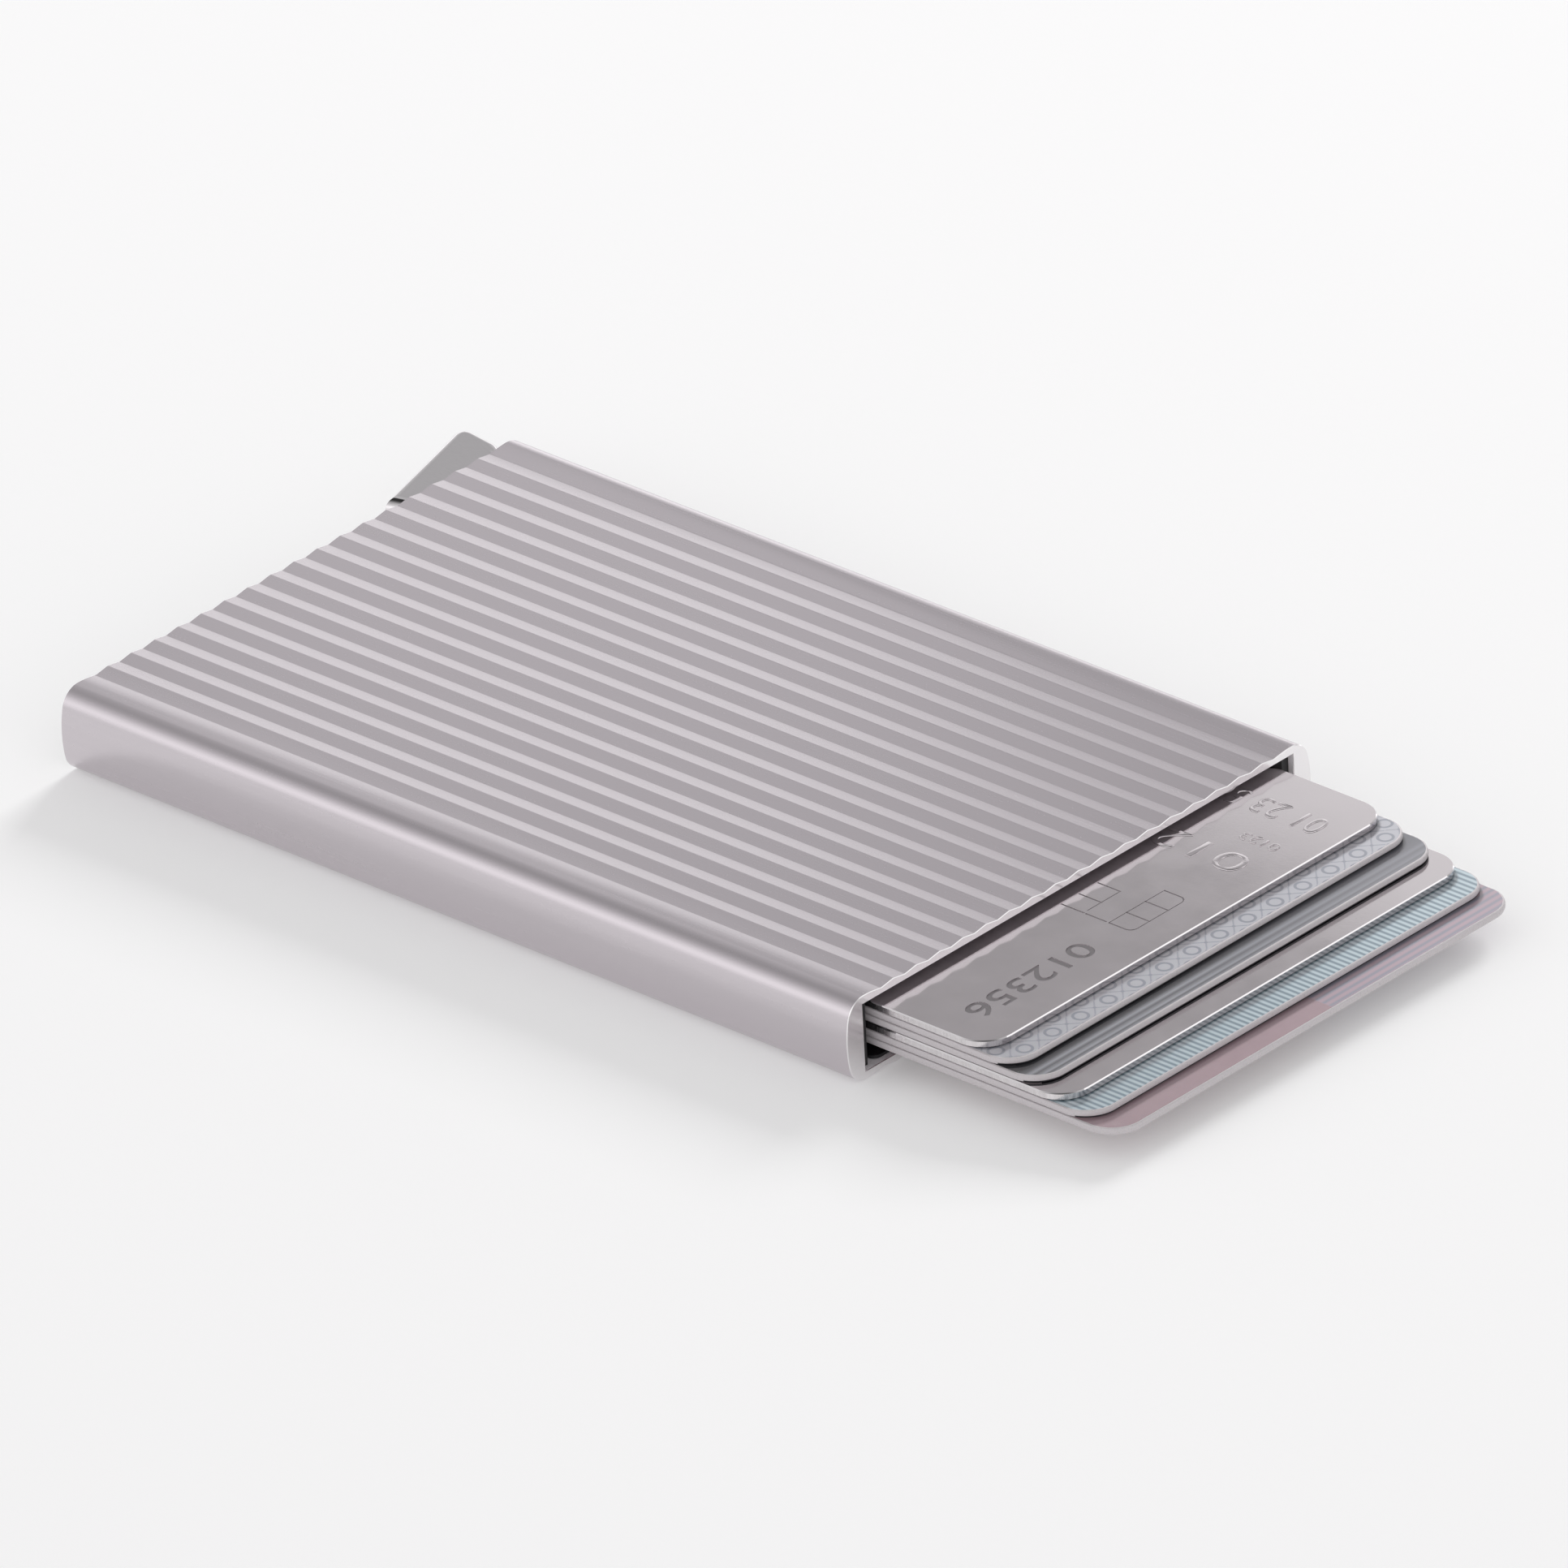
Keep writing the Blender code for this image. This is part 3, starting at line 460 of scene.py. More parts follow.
tab = new_outline("thumb_tab_polished", tab_outline, tab_low.z)
edit(tab)
round_corner(tab, heel, neck, tip, HEEL_RADIUS, segments=16)
round_corner(tab, tip, heel, nose, TIP_RADIUS, segments=20)
bpy.ops.mesh.select_all(action="SELECT")
bpy.ops.mesh.extrude_region_move(TRANSFORM_OT_translate={"value": (0, 0, tab_high.z - tab_low.z)})
bpy.ops.mesh.select_all(action="SELECT")
bpy.ops.mesh.normals_make_consistent(inside=False)
pick(tab, "EDGE", lambda a, b: abs(a.z - b.z) < TINY and max(a.x, b.x) < REAR - TINY)
bpy.ops.mesh.bevel(offset=TAB_RIM, segments=10, affect="EDGES", clamp_overlap=False)
close_edit()
print("wedge leans", round(math.degrees(slope), 1), "degrees")

# %% [markdown]
# The tab's near end is rolled over, top and bottom, by keeping only what lies inside a rounded
# block. Inside the sleeve it goes on as a round hub and a thin tongue, which carries the arm. Both
# are joined on, and the holes for the bush and the two rivets are drilled through with cylinders.

# %% Thumb tab: rolled nose
ROLL_REACH = 24 * MM

roll = new_block("roll", (0, -ROLL_REACH, tab_low.z), (ROLL_REACH, ROLL_REACH, tab_high.z))
edit(roll)
pick(roll, "EDGE", lambda a, b: abs(a.x) < TINY and abs(b.x) < TINY and abs(a.z - b.z) < TINY)
bpy.ops.mesh.bevel(offset=TAB_ROLL, segments=16, affect="EDGES")
close_edit()
roll.data.transform(
    Matrix.Translation((nose.x, nose.y, 0)) @ Matrix.Rotation(slope + math.pi / 2, 4, "Z")
)
cut(tab, roll, "INTERSECT")
print("nose rolled with a radius of", round(TAB_ROLL / MM, 1), "mm")

# %% Thumb tab: hub and tongue
HUB_LOW = 3.75 * MM
TONGUE_HALF = 2.1 * MM
TONGUE_THICKNESS = 0.34 * MM
TONGUE_END = PIVOT.y - 14.7 * MM
TONGUE_CORNER = 1.2 * MM

rivet_low, rivet_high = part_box("arm_rivet_1")
hub_high = rivet_high.z
hub = new_piece(
    "hub",
    bpy.ops.mesh.primitive_cylinder_add,
    vertices=64,
    radius=HUB_RADIUS,
    depth=hub_high - HUB_LOW,
    location=(PIVOT.x, PIVOT.y, (hub_high + HUB_LOW) / 2),
)
cut(tab, hub, "UNION")
tongue_middle = (rivet_low.x + rivet_high.x) / 2
tongue = new_block(
    "tongue",
    (tongue_middle - TONGUE_HALF, TONGUE_END, hub_high - TONGUE_THICKNESS),
    (tongue_middle + TONGUE_HALF, PIVOT.y, hub_high),
)
edit(tongue)
pick(tongue, "EDGE", lambda a, b: abs(a.z - b.z) > TINY and max(a.y, b.y) < PIVOT.y - TINY)
bpy.ops.mesh.bevel(offset=TONGUE_CORNER, segments=6, affect="EDGES")
close_edit()
cut(tab, tongue, "UNION")
print("hub and tongue end at", round(hub_high / MM, 2), "mm")

# %% Thumb tab: holes
BUSH_HOLE = 1.6 * MM
DRILL_LENGTH = 20 * MM

holes = [(PIVOT.x, PIVOT.y, BUSH_HOLE)]
for rivet in ("arm_rivet_1", "arm_rivet_2"):
    low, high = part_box(rivet)
    holes.append(((low.x + high.x) / 2, (low.y + high.y) / 2, (high.x - low.x) / 2 + SEAT))
for x, y, radius in holes:
    drill = new_piece(
        "drill",
        bpy.ops.mesh.primitive_cylinder_add,
        vertices=48,
        radius=radius,
        depth=DRILL_LENGTH,
        location=(x, y, 0),
    )
    cut(tab, drill)
smooth(tab, degrees=35)
report(tab)

# %% [markdown]
# The return spring is one wire wound round the pivot: a straight leg held in the black moulding,
# two and a quarter turns, and a leg that bends round into the arm. A curve with a round section
# could make it. Here the section is swept up a helix by the Screw modifier, because its open ends
# can then be extruded into the legs, and it stays one closed wire.

# %% Return spring: the coil
WIRE_RADIUS = 0.175 * MM
COIL_RADIUS = 1.9 * MM
COIL_TURNS = 2.25
COIL_STEPS = 72
LEG_LEAD = 0.8 * MM
LEG_BEND = 0.8 * MM

spring_low, spring_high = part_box("return_spring")
wire = new_piece(
    "return_spring_wire",
    bpy.ops.mesh.primitive_circle_add,
    vertices=12,
    radius=WIRE_RADIUS,
    rotation=(math.pi / 2, 0, 0),
    location=(-COIL_RADIUS, 0, 0),
)
rise = spring_high.z - spring_low.z - 2 * WIRE_RADIUS
sweep = COIL_TURNS * math.tau
apply_modifier(
    wire, "SCREW", angle=sweep, screw_offset=rise, steps=COIL_STEPS, render_steps=COIL_STEPS
)
wire.data.transform(Matrix.Translation((PIVOT.x, PIVOT.y, spring_low.z + WIRE_RADIUS)))
print("coil rises", round(rise / MM, 2), "mm")

# %% Return spring: the two legs
low_ring = spring_low.z + 2 * WIRE_RADIUS + TINY
high_ring = spring_high.z - 2 * WIRE_RADIUS - TINY


def on_low_end(co):
    """Whether a point lies on the coil's open low end."""
    return abs(co.y - PIVOT.y) < TINY and co.z < low_ring


def on_high_end(co):
    """Whether a point lies on the coil's open high end."""
    return abs(co.x - PIVOT.x) < TINY and co.z > high_ring


edit(wire)
pick(wire, "EDGE", lambda a, b: on_low_end(a) and on_low_end(b))
bpy.ops.mesh.extrude_edges_move(TRANSFORM_OT_translate={"value": (0, spring_high.y - PIVOT.y, 0)})
bpy.ops.mesh.edge_face_add()
pick(wire, "EDGE", lambda a, b: on_high_end(a) and on_high_end(b))
bpy.ops.mesh.extrude_edges_move(TRANSFORM_OT_translate={"value": (LEG_LEAD, 0, 0)})
bend_y = PIVOT.y - COIL_RADIUS - LEG_BEND
bpy.ops.mesh.spin(
    steps=8, angle=math.pi / 2, center=(PIVOT.x + LEG_LEAD, bend_y, spring_high.z), axis=(0, 0, -1)
)
bpy.ops.mesh.extrude_edges_move(TRANSFORM_OT_translate={"value": (0, spring_low.y - bend_y, 0)})
bpy.ops.mesh.edge_face_add()
bpy.ops.mesh.select_all(action="SELECT")
bpy.ops.mesh.normals_make_consistent(inside=False)
close_edit()
smooth(wire, degrees=60)
report(wire)
print("packed spring:", [round(value / MM, 2) for value in spring_high - spring_low], "mm")

# %% [markdown]
# The cards are standard bank cards. Each is a thin block with its four corners rounded to the
# standard's radius. The edges of the plastic ones are softly rounded, and the two metal ones have a
# small flat bevel, which draws a white line in the light. One loop makes all six, in the places
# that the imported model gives. Each kind of card has the size of its edge break and how many facets
# it has.

# %% Cards: six blanks
CARD_CORNER = 3.18 * MM
EDGE_BREAK = {"metal": (0.1 * MM, 1), "plastic": (0.22 * MM, 2)}
METAL_CARDS = (1, 4)


def make_blank(number):
    """One card blank with rounded corners and softly broken edges."""
    node = f"card_{number}"
    low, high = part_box(node)
    card = new_block(f"{node}_blank", low, high)
    edit(card)
    pick(card, "EDGE", lambda a, b: abs(a.z - b.z) > TINY)
    bpy.ops.mesh.bevel(offset=CARD_CORNER, segments=18, affect="EDGES")
    pick(card, "EDGE", lambda a, b: abs(a.z - b.z) < TINY)
    offset, segments = EDGE_BREAK["metal" if number in METAL_CARDS else "plastic"]
    bpy.ops.mesh.bevel(offset=offset, segments=segments, affect="EDGES")
    close_edit()
    return card


cards = [make_blank(number + 1) for number in range(CARDS)]
print(len(cards), "blanks")

# %% [markdown]
# The top card is a metal one, and its marks are cut and struck into it. A bump in its finish would
# look flat from low down, so they are real shapes here too. The grooves round the contact pads are
# thin blocks taken out of the top. Places are given in millimetres behind the card's front edge and
# across from its middle line.

# %% Top card: grooves round the contact pads
GROOVE_WIDTH = 0.17 * MM
HAIRLINE = 0.07 * MM
GROOVE_DEPTH = 0.07 * MM
PAD_ROWS = (-3.5, -1.14, 1.38, 3.9)
PAD_COLUMNS = (3.9, 6.6, 6.95, 9.3, 9.6, 12.2)
PAD_INSET = 0.5
PAD_CORNER = 0.8 * MM

top_card = cards[0]
card_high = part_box("card_1")[1]
front = card_high.x


def groove(start, end, across, to_across, grow):
    """A block between two places on the top card, grown sideways, to cut a groove with."""
    low = (front - end * MM - grow[0], across * MM - grow[1], card_high.z - GROOVE_DEPTH)
    high = (front - start * MM + grow[0], to_across * MM + grow[1], card_high.z + CUT_OVER)
    return new_block("groove", low, high)


def round_front(piece, radius):
    """Round the two upright edges at the front of a block."""
    edge_x = max(v.co.x for v in piece.data.vertices)
    edit(piece)
    pick(piece, "EDGE", lambda a, b: abs(a.z - b.z) > TINY and min(a.x, b.x) > edge_x - TINY)
    bpy.ops.mesh.bevel(offset=radius, segments=10, affect="EDGES")
    close_edit()


pad_frame = groove(*PAD_COLUMNS[:2], PAD_ROWS[0], PAD_ROWS[3], (HAIRLINE / 2, GROOVE_WIDTH / 2))
island = groove(*PAD_COLUMNS[:2], PAD_ROWS[0], PAD_ROWS[3], (-HAIRLINE / 2, -GROOVE_WIDTH / 2))
island.data.transform(Matrix.Translation((0, 0, -CUT_OVER / 2)))
round_front(pad_frame, PAD_CORNER)
round_front(island, PAD_CORNER - GROOVE_WIDTH / 2)
cut(pad_frame, island)
grooves = [pad_frame]
half_widths = (GROOVE_WIDTH / 2, GROOVE_WIDTH / 2)
for row in PAD_ROWS[1:3]:
    grooves.append(groove(*PAD_COLUMNS[:2], row, row, half_widths))
for row in PAD_ROWS[:3]:
    grooves.append(groove(*PAD_COLUMNS[4:], row, row, half_widths))
grooves.append(groove(*PAD_COLUMNS[2:4], PAD_ROWS[0], PAD_ROWS[0], half_widths))
last_column = PAD_COLUMNS[4]
first_row = PAD_ROWS[0] + PAD_INSET
grooves.append(groove(last_column, last_column, first_row, PAD_ROWS[2], (HAIRLINE / 2, 0)))
for cutter in grooves:
    cut(top_card, cutter)
print(len(grooves), "grooves")

# %% [markdown]
# The digits are Blender text, made a mesh: one row is cut in, the others are raised, with rolled
# edges like struck characters. Heights, widths and places are in millimetres too, and each row is
# squeezed to its width.

# %% Top card: digits
LINE_HEIGHT = 0.72
STRIKE = 0.16 * MM
ENGRAVED_BOLD = 0.03 * MM
ROLL = 0.07 * MM
SMALL_ROLL = 0.04 * MM


def digits(text, height, width, back, across, turn, depth, roll=0.0, bold=0.0):
    """Plain digits as a mesh, their middle at a place on the top card."""
    close_edit()
    bpy.ops.object.text_add()
    label = bpy.context.active_object
    label.data.body = text
    label.data.size = height * MM / LINE_HEIGHT
    label.data.align_x = "CENTER"
    label.data.align_y = "CENTER"
    label.data.extrude = depth / 2 - roll
    label.data.bevel_depth = roll
    label.data.bevel_resolution = 2
    label.data.offset = bold - roll
    label.data.resolution_u = 6
    bpy.context.view_layer.update()
    squeeze = width * MM / label.dimensions.x
    bpy.ops.object.convert(target="MESH")
    label = bpy.context.active_object
    place = Matrix.Translation((front - back * MM, across * MM, card_high.z))
    shape = Matrix.Rotation(math.radians(turn), 4, "Z") @ Matrix.Diagonal((squeeze, 1, 1, 1))
    label.data.transform(place @ shape)
    edit(label)
    bpy.ops.mesh.select_all(action="SELECT")
    bpy.ops.mesh.remove_doubles(threshold=TINY)
    bpy.ops.mesh.normals_make_consistent(inside=False)
    close_edit()
    return label


cut(top_card, digits("012356", 2.7, 15.6, 5.35, -15.5, -90, 2 * GROOVE_DEPTH, bold=ENGRAVED_BOLD))
for row in (
    digits("0123 5678 9012", 3.3, 48, 27.8, 11.6, 180, STRIKE, roll=ROLL),
    digits("0123", 1.3, 4.3, 5.75, 15.8, 180, STRIKE, roll=SMALL_ROLL),
    digits("01 23 56", 2.9, 12.6, 9.2, 21.1, 180, STRIKE, roll=ROLL),
):
    cut(top_card, row, "UNION")
for card in cards:
    smooth(card, degrees=40)
    report(card)

# %% [markdown]
# Now the finishes. A small set of helpers builds node materials: one makes the shader, one adds a
# node and sets its inputs, one measures place on the object in millimetres, and one lets colour and
# roughness follow a noise pattern. Most of Blender's noise lies in the middle of its range, so that
# part is spread. A value that is the same all over goes straight on the shader's own socket.

# %% Helpers for finishes
NOISE_RANGE = (0.3, 0.7)


class Finish:
    """A node material under construction."""

    def __init__(self, name, colour, metallic=0.0, roughness=0.5, specular=0.5):
        self.name = name
        self.colour = colour
        self.material = bpy.data.materials.new(name)
        self.material.use_nodes = True
        self.tree = self.material.node_tree
        self.shader = self.tree.nodes["Principled BSDF"]
        self.set("Base Color", (*colour, 1))
        self.set("Metallic", metallic)
        self.set("Roughness", roughness)
        self.set("Specular IOR Level", specular)

    def set(self, socket, value):
        """Set a constant on the shader."""
        self.shader.inputs[socket].default_value = value

    def feed(self, socket, output):
        """Link a pattern to the shader."""
        self.tree.links.new(output, self.shader.inputs[socket])

    def add(self, kind, inputs=None, **settings):
        """Add a node, set its options, and link or set its inputs."""
        node = self.tree.nodes.new(kind)
        for key, value in settings.items():
            setattr(node, key, value)
        for key, value in (inputs or {}).items():
            if isinstance(value, bpy.types.NodeSocket):
                self.tree.links.new(value, node.inputs[key])
            else:
                node.inputs[key].default_value = value
        return node

    def place(self, *scale):
        """Place on the object in millimetres, scaled along each axis."""
        where = self.add("ShaderNodeTexCoord").outputs["Object"]
        factors = [factor / MM for factor in scale or (1, 1, 1)]
        return self.add("ShaderNodeMapping", {"Vector": where, "Scale": factors}).outputs[0]

    def math(self, operation, *values, clamp=False):
        """One sum."""
        inputs = dict(enumerate(values))
        return self.add("ShaderNodeMath", inputs, operation=operation, use_clamp=clamp).outputs[0]

    def noise(self, *scale, detail):
        """Noise between 0 and 1, with so many grains to a millimetre along each axis."""
        inputs = {"Vector": self.place(*scale), "Scale": 1.0, "Detail": detail}
        return self.add("ShaderNodeTexNoise", inputs).outputs["Fac"]

    def span(self, value, low, high, start, end):
        """A value from start to end as the input goes from low to high."""
        inputs = {"Value": value, "From Min": start, "From Max": end, "To Min": low, "To Max": high}
        return self.add("ShaderNodeMapRange", inputs).outputs[0]

    def blend(self, share, first, second):
        """A colour between two others, which are colours or outputs."""
        node = self.add("ShaderNodeMix", data_type="RGBA")
        for index, value in ((0, share), (6, first), (7, second)):
            if isinstance(value, bpy.types.NodeSocket):
                self.tree.links.new(value, node.inputs[index])
            elif index:
                node.inputs[index].default_value = (*value, 1)
            else:
                node.inputs[index].default_value = value
        return node.outputs[2]

    def tint(self, pattern, low, high):
        """The finish's colour, made darker and lighter by a pattern."""
        return self.blend(pattern, shade(self.colour, low), shade(self.colour, high))

    def vary(self, pattern, tints, roughness):
        """Let the colour and the roughness follow a noise pattern."""
        self.feed("Base Color", self.tint(pattern, *tints))
        self.feed("Roughness", self.span(pattern, *roughness, *NOISE_RANGE))

    def bump(self, height, strength, depth):
        """Feed a height to the shader's normal, its depth in millimetres."""
        inputs = {"Height": height, "Strength": strength, "Distance": depth * MM}
        self.feed("Normal", self.add("ShaderNodeBump", inputs).outputs[0])


def dress(piece, *finishes):
    """Give a piece its finishes, the first one all over."""
    piece.data.materials.clear()
    for finish in finishes:
        piece.data.materials.append(finish.material)
    for face in piece.data.polygons:
        face.material_index = 0


def shade(colour, factor):
    """A colour made lighter or darker."""
    return tuple(min(1, value * factor) for value in colour)


print("noise is spread from", NOISE_RANGE)

# %% [markdown]
# The sleeve is satin anodised aluminium. The die leaves very faint lines along the extrusion, and
# the blasting before the bath a fine even grain, so both the gloss and the height get those two
# patterns.

# %% Satin anodised aluminium
ALUMINIUM = (0.62, 0.58, 0.607)
GRAIN_SHARE = 0.4

satin = Finish("anodised_aluminium", ALUMINIUM, metallic=1.0, roughness=0.26)
die_lines = satin.noise(0.03, 5, 5, detail=4)
fine_grain = satin.noise(6, 6, 6, detail=3)
lines_share = satin.math("MULTIPLY", die_lines, 1 - GRAIN_SHARE)
both = satin.math("ADD", lines_share, satin.math("MULTIPLY", fine_grain, GRAIN_SHARE))
satin.vary(both, tints=(0.95, 1.05), roughness=(0.24, 0.28))
satin.bump(both, strength=0.04, depth=0.02)
print(satin.name, "has", len(satin.tree.nodes), "nodes")

# %% [markdown]
# The thumb tab is the same metal, but buffed to a near mirror, with faint marks that run along the
# wheel's path. The sleeve's ends are faced after sawing: pale and a little rougher, so that they
# glow softly and don't mirror the cards. The bore is left as the bath leaves it, matt. Which of
# them a face of the sleeve wears follows from where it lies and points.

# %% Polished, faced and matt aluminium
BRIGHT = (0.75, 0.73, 0.74)
FACED = (0.9, 0.88, 0.89)
BORE_GREY = (0.85, 0.82, 0.84)

polish = Finish("polished_aluminium", BRIGHT, metallic=1.0, roughness=0.08)
buffing = polish.noise(1.5, 9, 9, detail=5)
polish.vary(buffing, tints=(0.96, 1.03), roughness=(0.06, 0.1))
polish.bump(buffing, strength=0.05, depth=0.01)

faced = Finish("faced_aluminium", FACED, metallic=1.0, roughness=0.2)
turning = faced.noise(1, 4, 4, detail=4)
faced.vary(turning, tints=(0.95, 1.03), roughness=(0.18, 0.24))
faced.bump(turning, strength=0.05, depth=0.01)

bore = Finish("matt_bore", BORE_GREY, roughness=0.6)
bath_marks = bore.noise(0.5, 2, 2, detail=4)
bore.feed("Base Color", bore.tint(bath_marks, 0.9, 1.1))
bore.bump(bath_marks, strength=0.1, depth=0.02)
print("finishes:", polish.name, faced.name, bore.name)

# %% Who wears what
LEANING = 0.3


def in_bore(co):
    """Whether a place lies on the cavity's walls."""
    return abs(co.y) < CAVITY_HALF + TINY and FLOOR - TINY < co.z < CEILING + TINY


dress(tube, satin, faced, bore)
for face in tube.data.polygons:
    if abs(face.normal.x) > LEANING:
        face.material_index = 1
    elif in_bore(face.center):
        face.material_index = 2
dress(tab, polish)
print("sleeve wears", [slot.material.name for slot in tube.material_slots])

# %% [markdown]
# Inside the mouth everything is black moulding or blued spring steel, so it shows only as faint
# edges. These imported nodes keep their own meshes. Each finish gets a pattern at the scale of the
# real one: a fine spark texture on the mouldings, turning lines on the brass and fibres on the
# felt.

# %% Finishes of the inner parts
ROUGH_SWING = 0.05
GRAIN_STRENGTH = 0.3


def mottled(name, colour, metallic, roughness, size, swing, depth, stretch=(1, 1, 1)):
    """A finish with one noise pattern, its grain size and depth in millimetres."""
    finish = Finish(name, colour, metallic, roughness)
    pattern = finish.noise(*(factor / size for factor in stretch), detail=4)
    rough = (roughness - ROUGH_SWING, roughness + ROUGH_SWING)
    finish.vary(pattern, (1 - swing, 1 + swing), rough)
    finish.bump(pattern, GRAIN_STRENGTH, depth)
    return finish


moulding = mottled("black_moulding", (0.012, 0.012, 0.013), 0, 0.5, 0.25, 0.25, 0.02)
steel = mottled("steel", (0.5, 0.5, 0.5), 1, 0.3, 0.1, 0.1, 0.01)
spring = mottled("spring_steel", (0.16, 0.16, 0.17), 1, 0.34, 0.2, 0.15, 0.01, (0.1, 1, 1))
brass = mottled("brass", (0.72, 0.52, 0.22), 1, 0.28, 0.15, 0.1, 0.01, (0.2, 0.2, 3))
rubber = mottled("rubber", (0.02, 0.02, 0.02), 0, 0.8, 0.3, 0.2, 0.02)
felt = mottled("felt", (0.04, 0.04, 0.042), 0, 0.95, 0.12, 0.5, 0.05)
felt.set("Sheen Weight", 0.4)

inner_finishes = {
    moulding: ("end_plug", "stepped_arm", "side_rail_near", "side_rail_far", "floor_liner"),
    steel: (
        "arm_rivet_1", "arm_rivet_2", "pivot_pin", "cover_screw",
        "brake_rivet_near", "brake_rivet_far",
    ),
    spring: ("cover_plate", "brake_spring_near", "brake_spring_far"),
    brass: ("pivot_bush",),
    rubber: ("stop_buffer",),
    felt: ("brake_pad_near", "brake_pad_far"),
}
for finish, names in inner_finishes.items():
    for name in names:
        dress(nodes[name], finish)
    print(finish.name, "on", ", ".join(names))
dress(wire, spring)

# %% [markdown]
# Two of the cards are metal. Their tops are satin, with faint clouds from handling, their edges are
# milled, with fine upright marks that sparkle, and the small bevel on the upper edge is polished.
# The floor of the grooves is painted darker: painted shade in the recess.

# %% Card finishes: metal
CARD_METAL = (0.63, 0.592, 0.608)
MILLED_METAL = (0.8, 0.77, 0.78)


def metal_card(name):
    """A satin metal card with faint clouds from handling."""
    finish = Finish(name, CARD_METAL, metallic=1.0, roughness=0.11)
    clouds = finish.noise(0.25, 0.25, 0.25, detail=4)
    finish.vary(clouds, tints=(0.94, 1.06), roughness=(0.09, 0.13))
    finish.bump(finish.noise(4, 4, 4, detail=3), strength=0.08, depth=0.01)
    return finish


card_metal = metal_card("card_metal")
card_plain_metal = metal_card("card_plain_metal")
milled = Finish("milled_edge", MILLED_METAL, metallic=1.0, roughness=0.25)
upright = milled.noise(2.6, 2.6, 0, detail=1)
milled.vary(upright, tints=(0.8, 1.15), roughness=(0.2, 0.3))
milled.bump(upright, strength=0.2, depth=0.03)
# Painted shade for the floor of the grooves.
painted_groove_shade = mottled("painted_groove_shade", (0.3, 0.28, 0.29), 1, 0.4, 0.3, 0.2, 0.02)
print("metal:", card_metal.name, card_plain_metal.name, milled.name, painted_groove_shade.name)

# %% [markdown]
# The printed cards are laminate: ink under a hard gloss on a pale core. On the first five cards,
# the metal ones too, the lower front bevel is painted near black: painted contact shadow where each
# card stands on the next one, which parts each card from the next. The prints are common security
# patterns, worked out from the place on the card, and laid one over another as on a press.

# %% Card finishes: core, painted contact shadow and ink
GLOSS = 2.0

core = mottled("card_core", (0.62, 0.585, 0.6), 0, 0.3, 0.15, 0.03, 0.003)
# Painted contact shadow: near black on the lower front bevel of each card that stands on another.
painted_contact_shadow = mottled("card_painted_contact_shadow", (0.03, 0.03, 0.035), 0, 0.4, 0.4, 0.2, 0.01)


class Print(Finish):
    """A printed laminate: faintly mottled ink, on which patterns are laid one over another."""

    def __init__(self, name, colour, number):
        super().__init__(name, colour, roughness=0.14)
        self.set("IOR", GLOSS)
        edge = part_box(f"card_{number}")[1].x
        split = self.add("ShaderNodeSeparateXYZ", {"Vector": self.place()}).outputs
        self.back = self.math("SUBTRACT", edge / MM, split["X"])
        self.across = split["Y"]
        clouds = self.noise(0.6, 0.6, 0.6, detail=3)
        self.ink = self.tint(clouds, 0.97, 1.03)
        self.feed("Roughness", self.span(clouds, 0.12, 0.17, *NOISE_RANGE))

    def cell(self, value, pitch, start=0.0):
        """Which repeat a place lies in, and where in it, from -0.5 to 0.5."""
        steps = self.math("DIVIDE", self.math("SUBTRACT", value, start), pitch)
        whole = self.math("FLOOR", steps)
        return whole, self.math("SUBTRACT", self.math("SUBTRACT", steps, whole), 0.5)

    def line(self, distance, half, soft):
        """1 within a distance of a line and 0 beyond, with a soft edge."""
        return self.span(self.math("ABSOLUTE", distance), 1, 0, half, half + soft)

    def lay(self, share, colour):
        """Print a colour where a pattern is."""
        self.ink = self.blend(share, self.ink, colour)

    def done(self):
        """Hand the print to the shader."""
        self.feed("Base Color", self.ink)
        print(self.name, "printed with", len(self.tree.nodes), "nodes")
        return self


print("laminate:", core.name, painted_contact_shadow.name)

# %% [markdown]
# The grey blue card has rings and crosses, each in every other cell of a lattice. A ring is all
# that lies at one distance from its cell's middle, and a cross is where the two distances from the
# cell's middle lines are alike.

# %% Card finishes: rings and crosses
RING_STEP = (1.855, 1.75)
RING_START = (0.95, 0.4)
RING_RADIUS = 0.7
RING_HALF = 0.1
CROSS_HALF = 0.07
DOT_RADIUS = 0.14
SOFT = 0.08

rings = Print("card_grey_blue", (0.45, 0.45, 0.49), 2)
column, beside = rings.cell(rings.across, RING_STEP[0], RING_START[0])
row, behind = rings.cell(rings.back, RING_STEP[1], RING_START[1])
odd = rings.math("PINGPONG", rings.math("ADD", column, row), 1.0)
beside = rings.math("MULTIPLY", beside, RING_STEP[0])
behind = rings.math("MULTIPLY", behind, RING_STEP[1])
squares = rings.math("ADD", rings.math("POWER", beside, 2.0), rings.math("POWER", behind, 2.0))
out = rings.math("SQRT", squares)
circle = rings.line(rings.math("SUBTRACT", out, RING_RADIUS), RING_HALF, SOFT)
cross = rings.math(
    "MAXIMUM",
    rings.line(rings.math("ADD", beside, behind), CROSS_HALF, SOFT),
    rings.line(rings.math("SUBTRACT", beside, behind), CROSS_HALF, SOFT),
)
dot = rings.line(out, DOT_RADIUS, SOFT)
rings.lay(rings.math("MULTIPLY", rings.math("SUBTRACT", 1.0, odd), circle), (0.26, 0.27, 0.31))
rings.lay(rings.math("MULTIPLY", odd, cross), (0.32, 0.33, 0.37))
rings.lay(rings.math("MULTIPLY", odd, dot), (0.28, 0.29, 0.33))
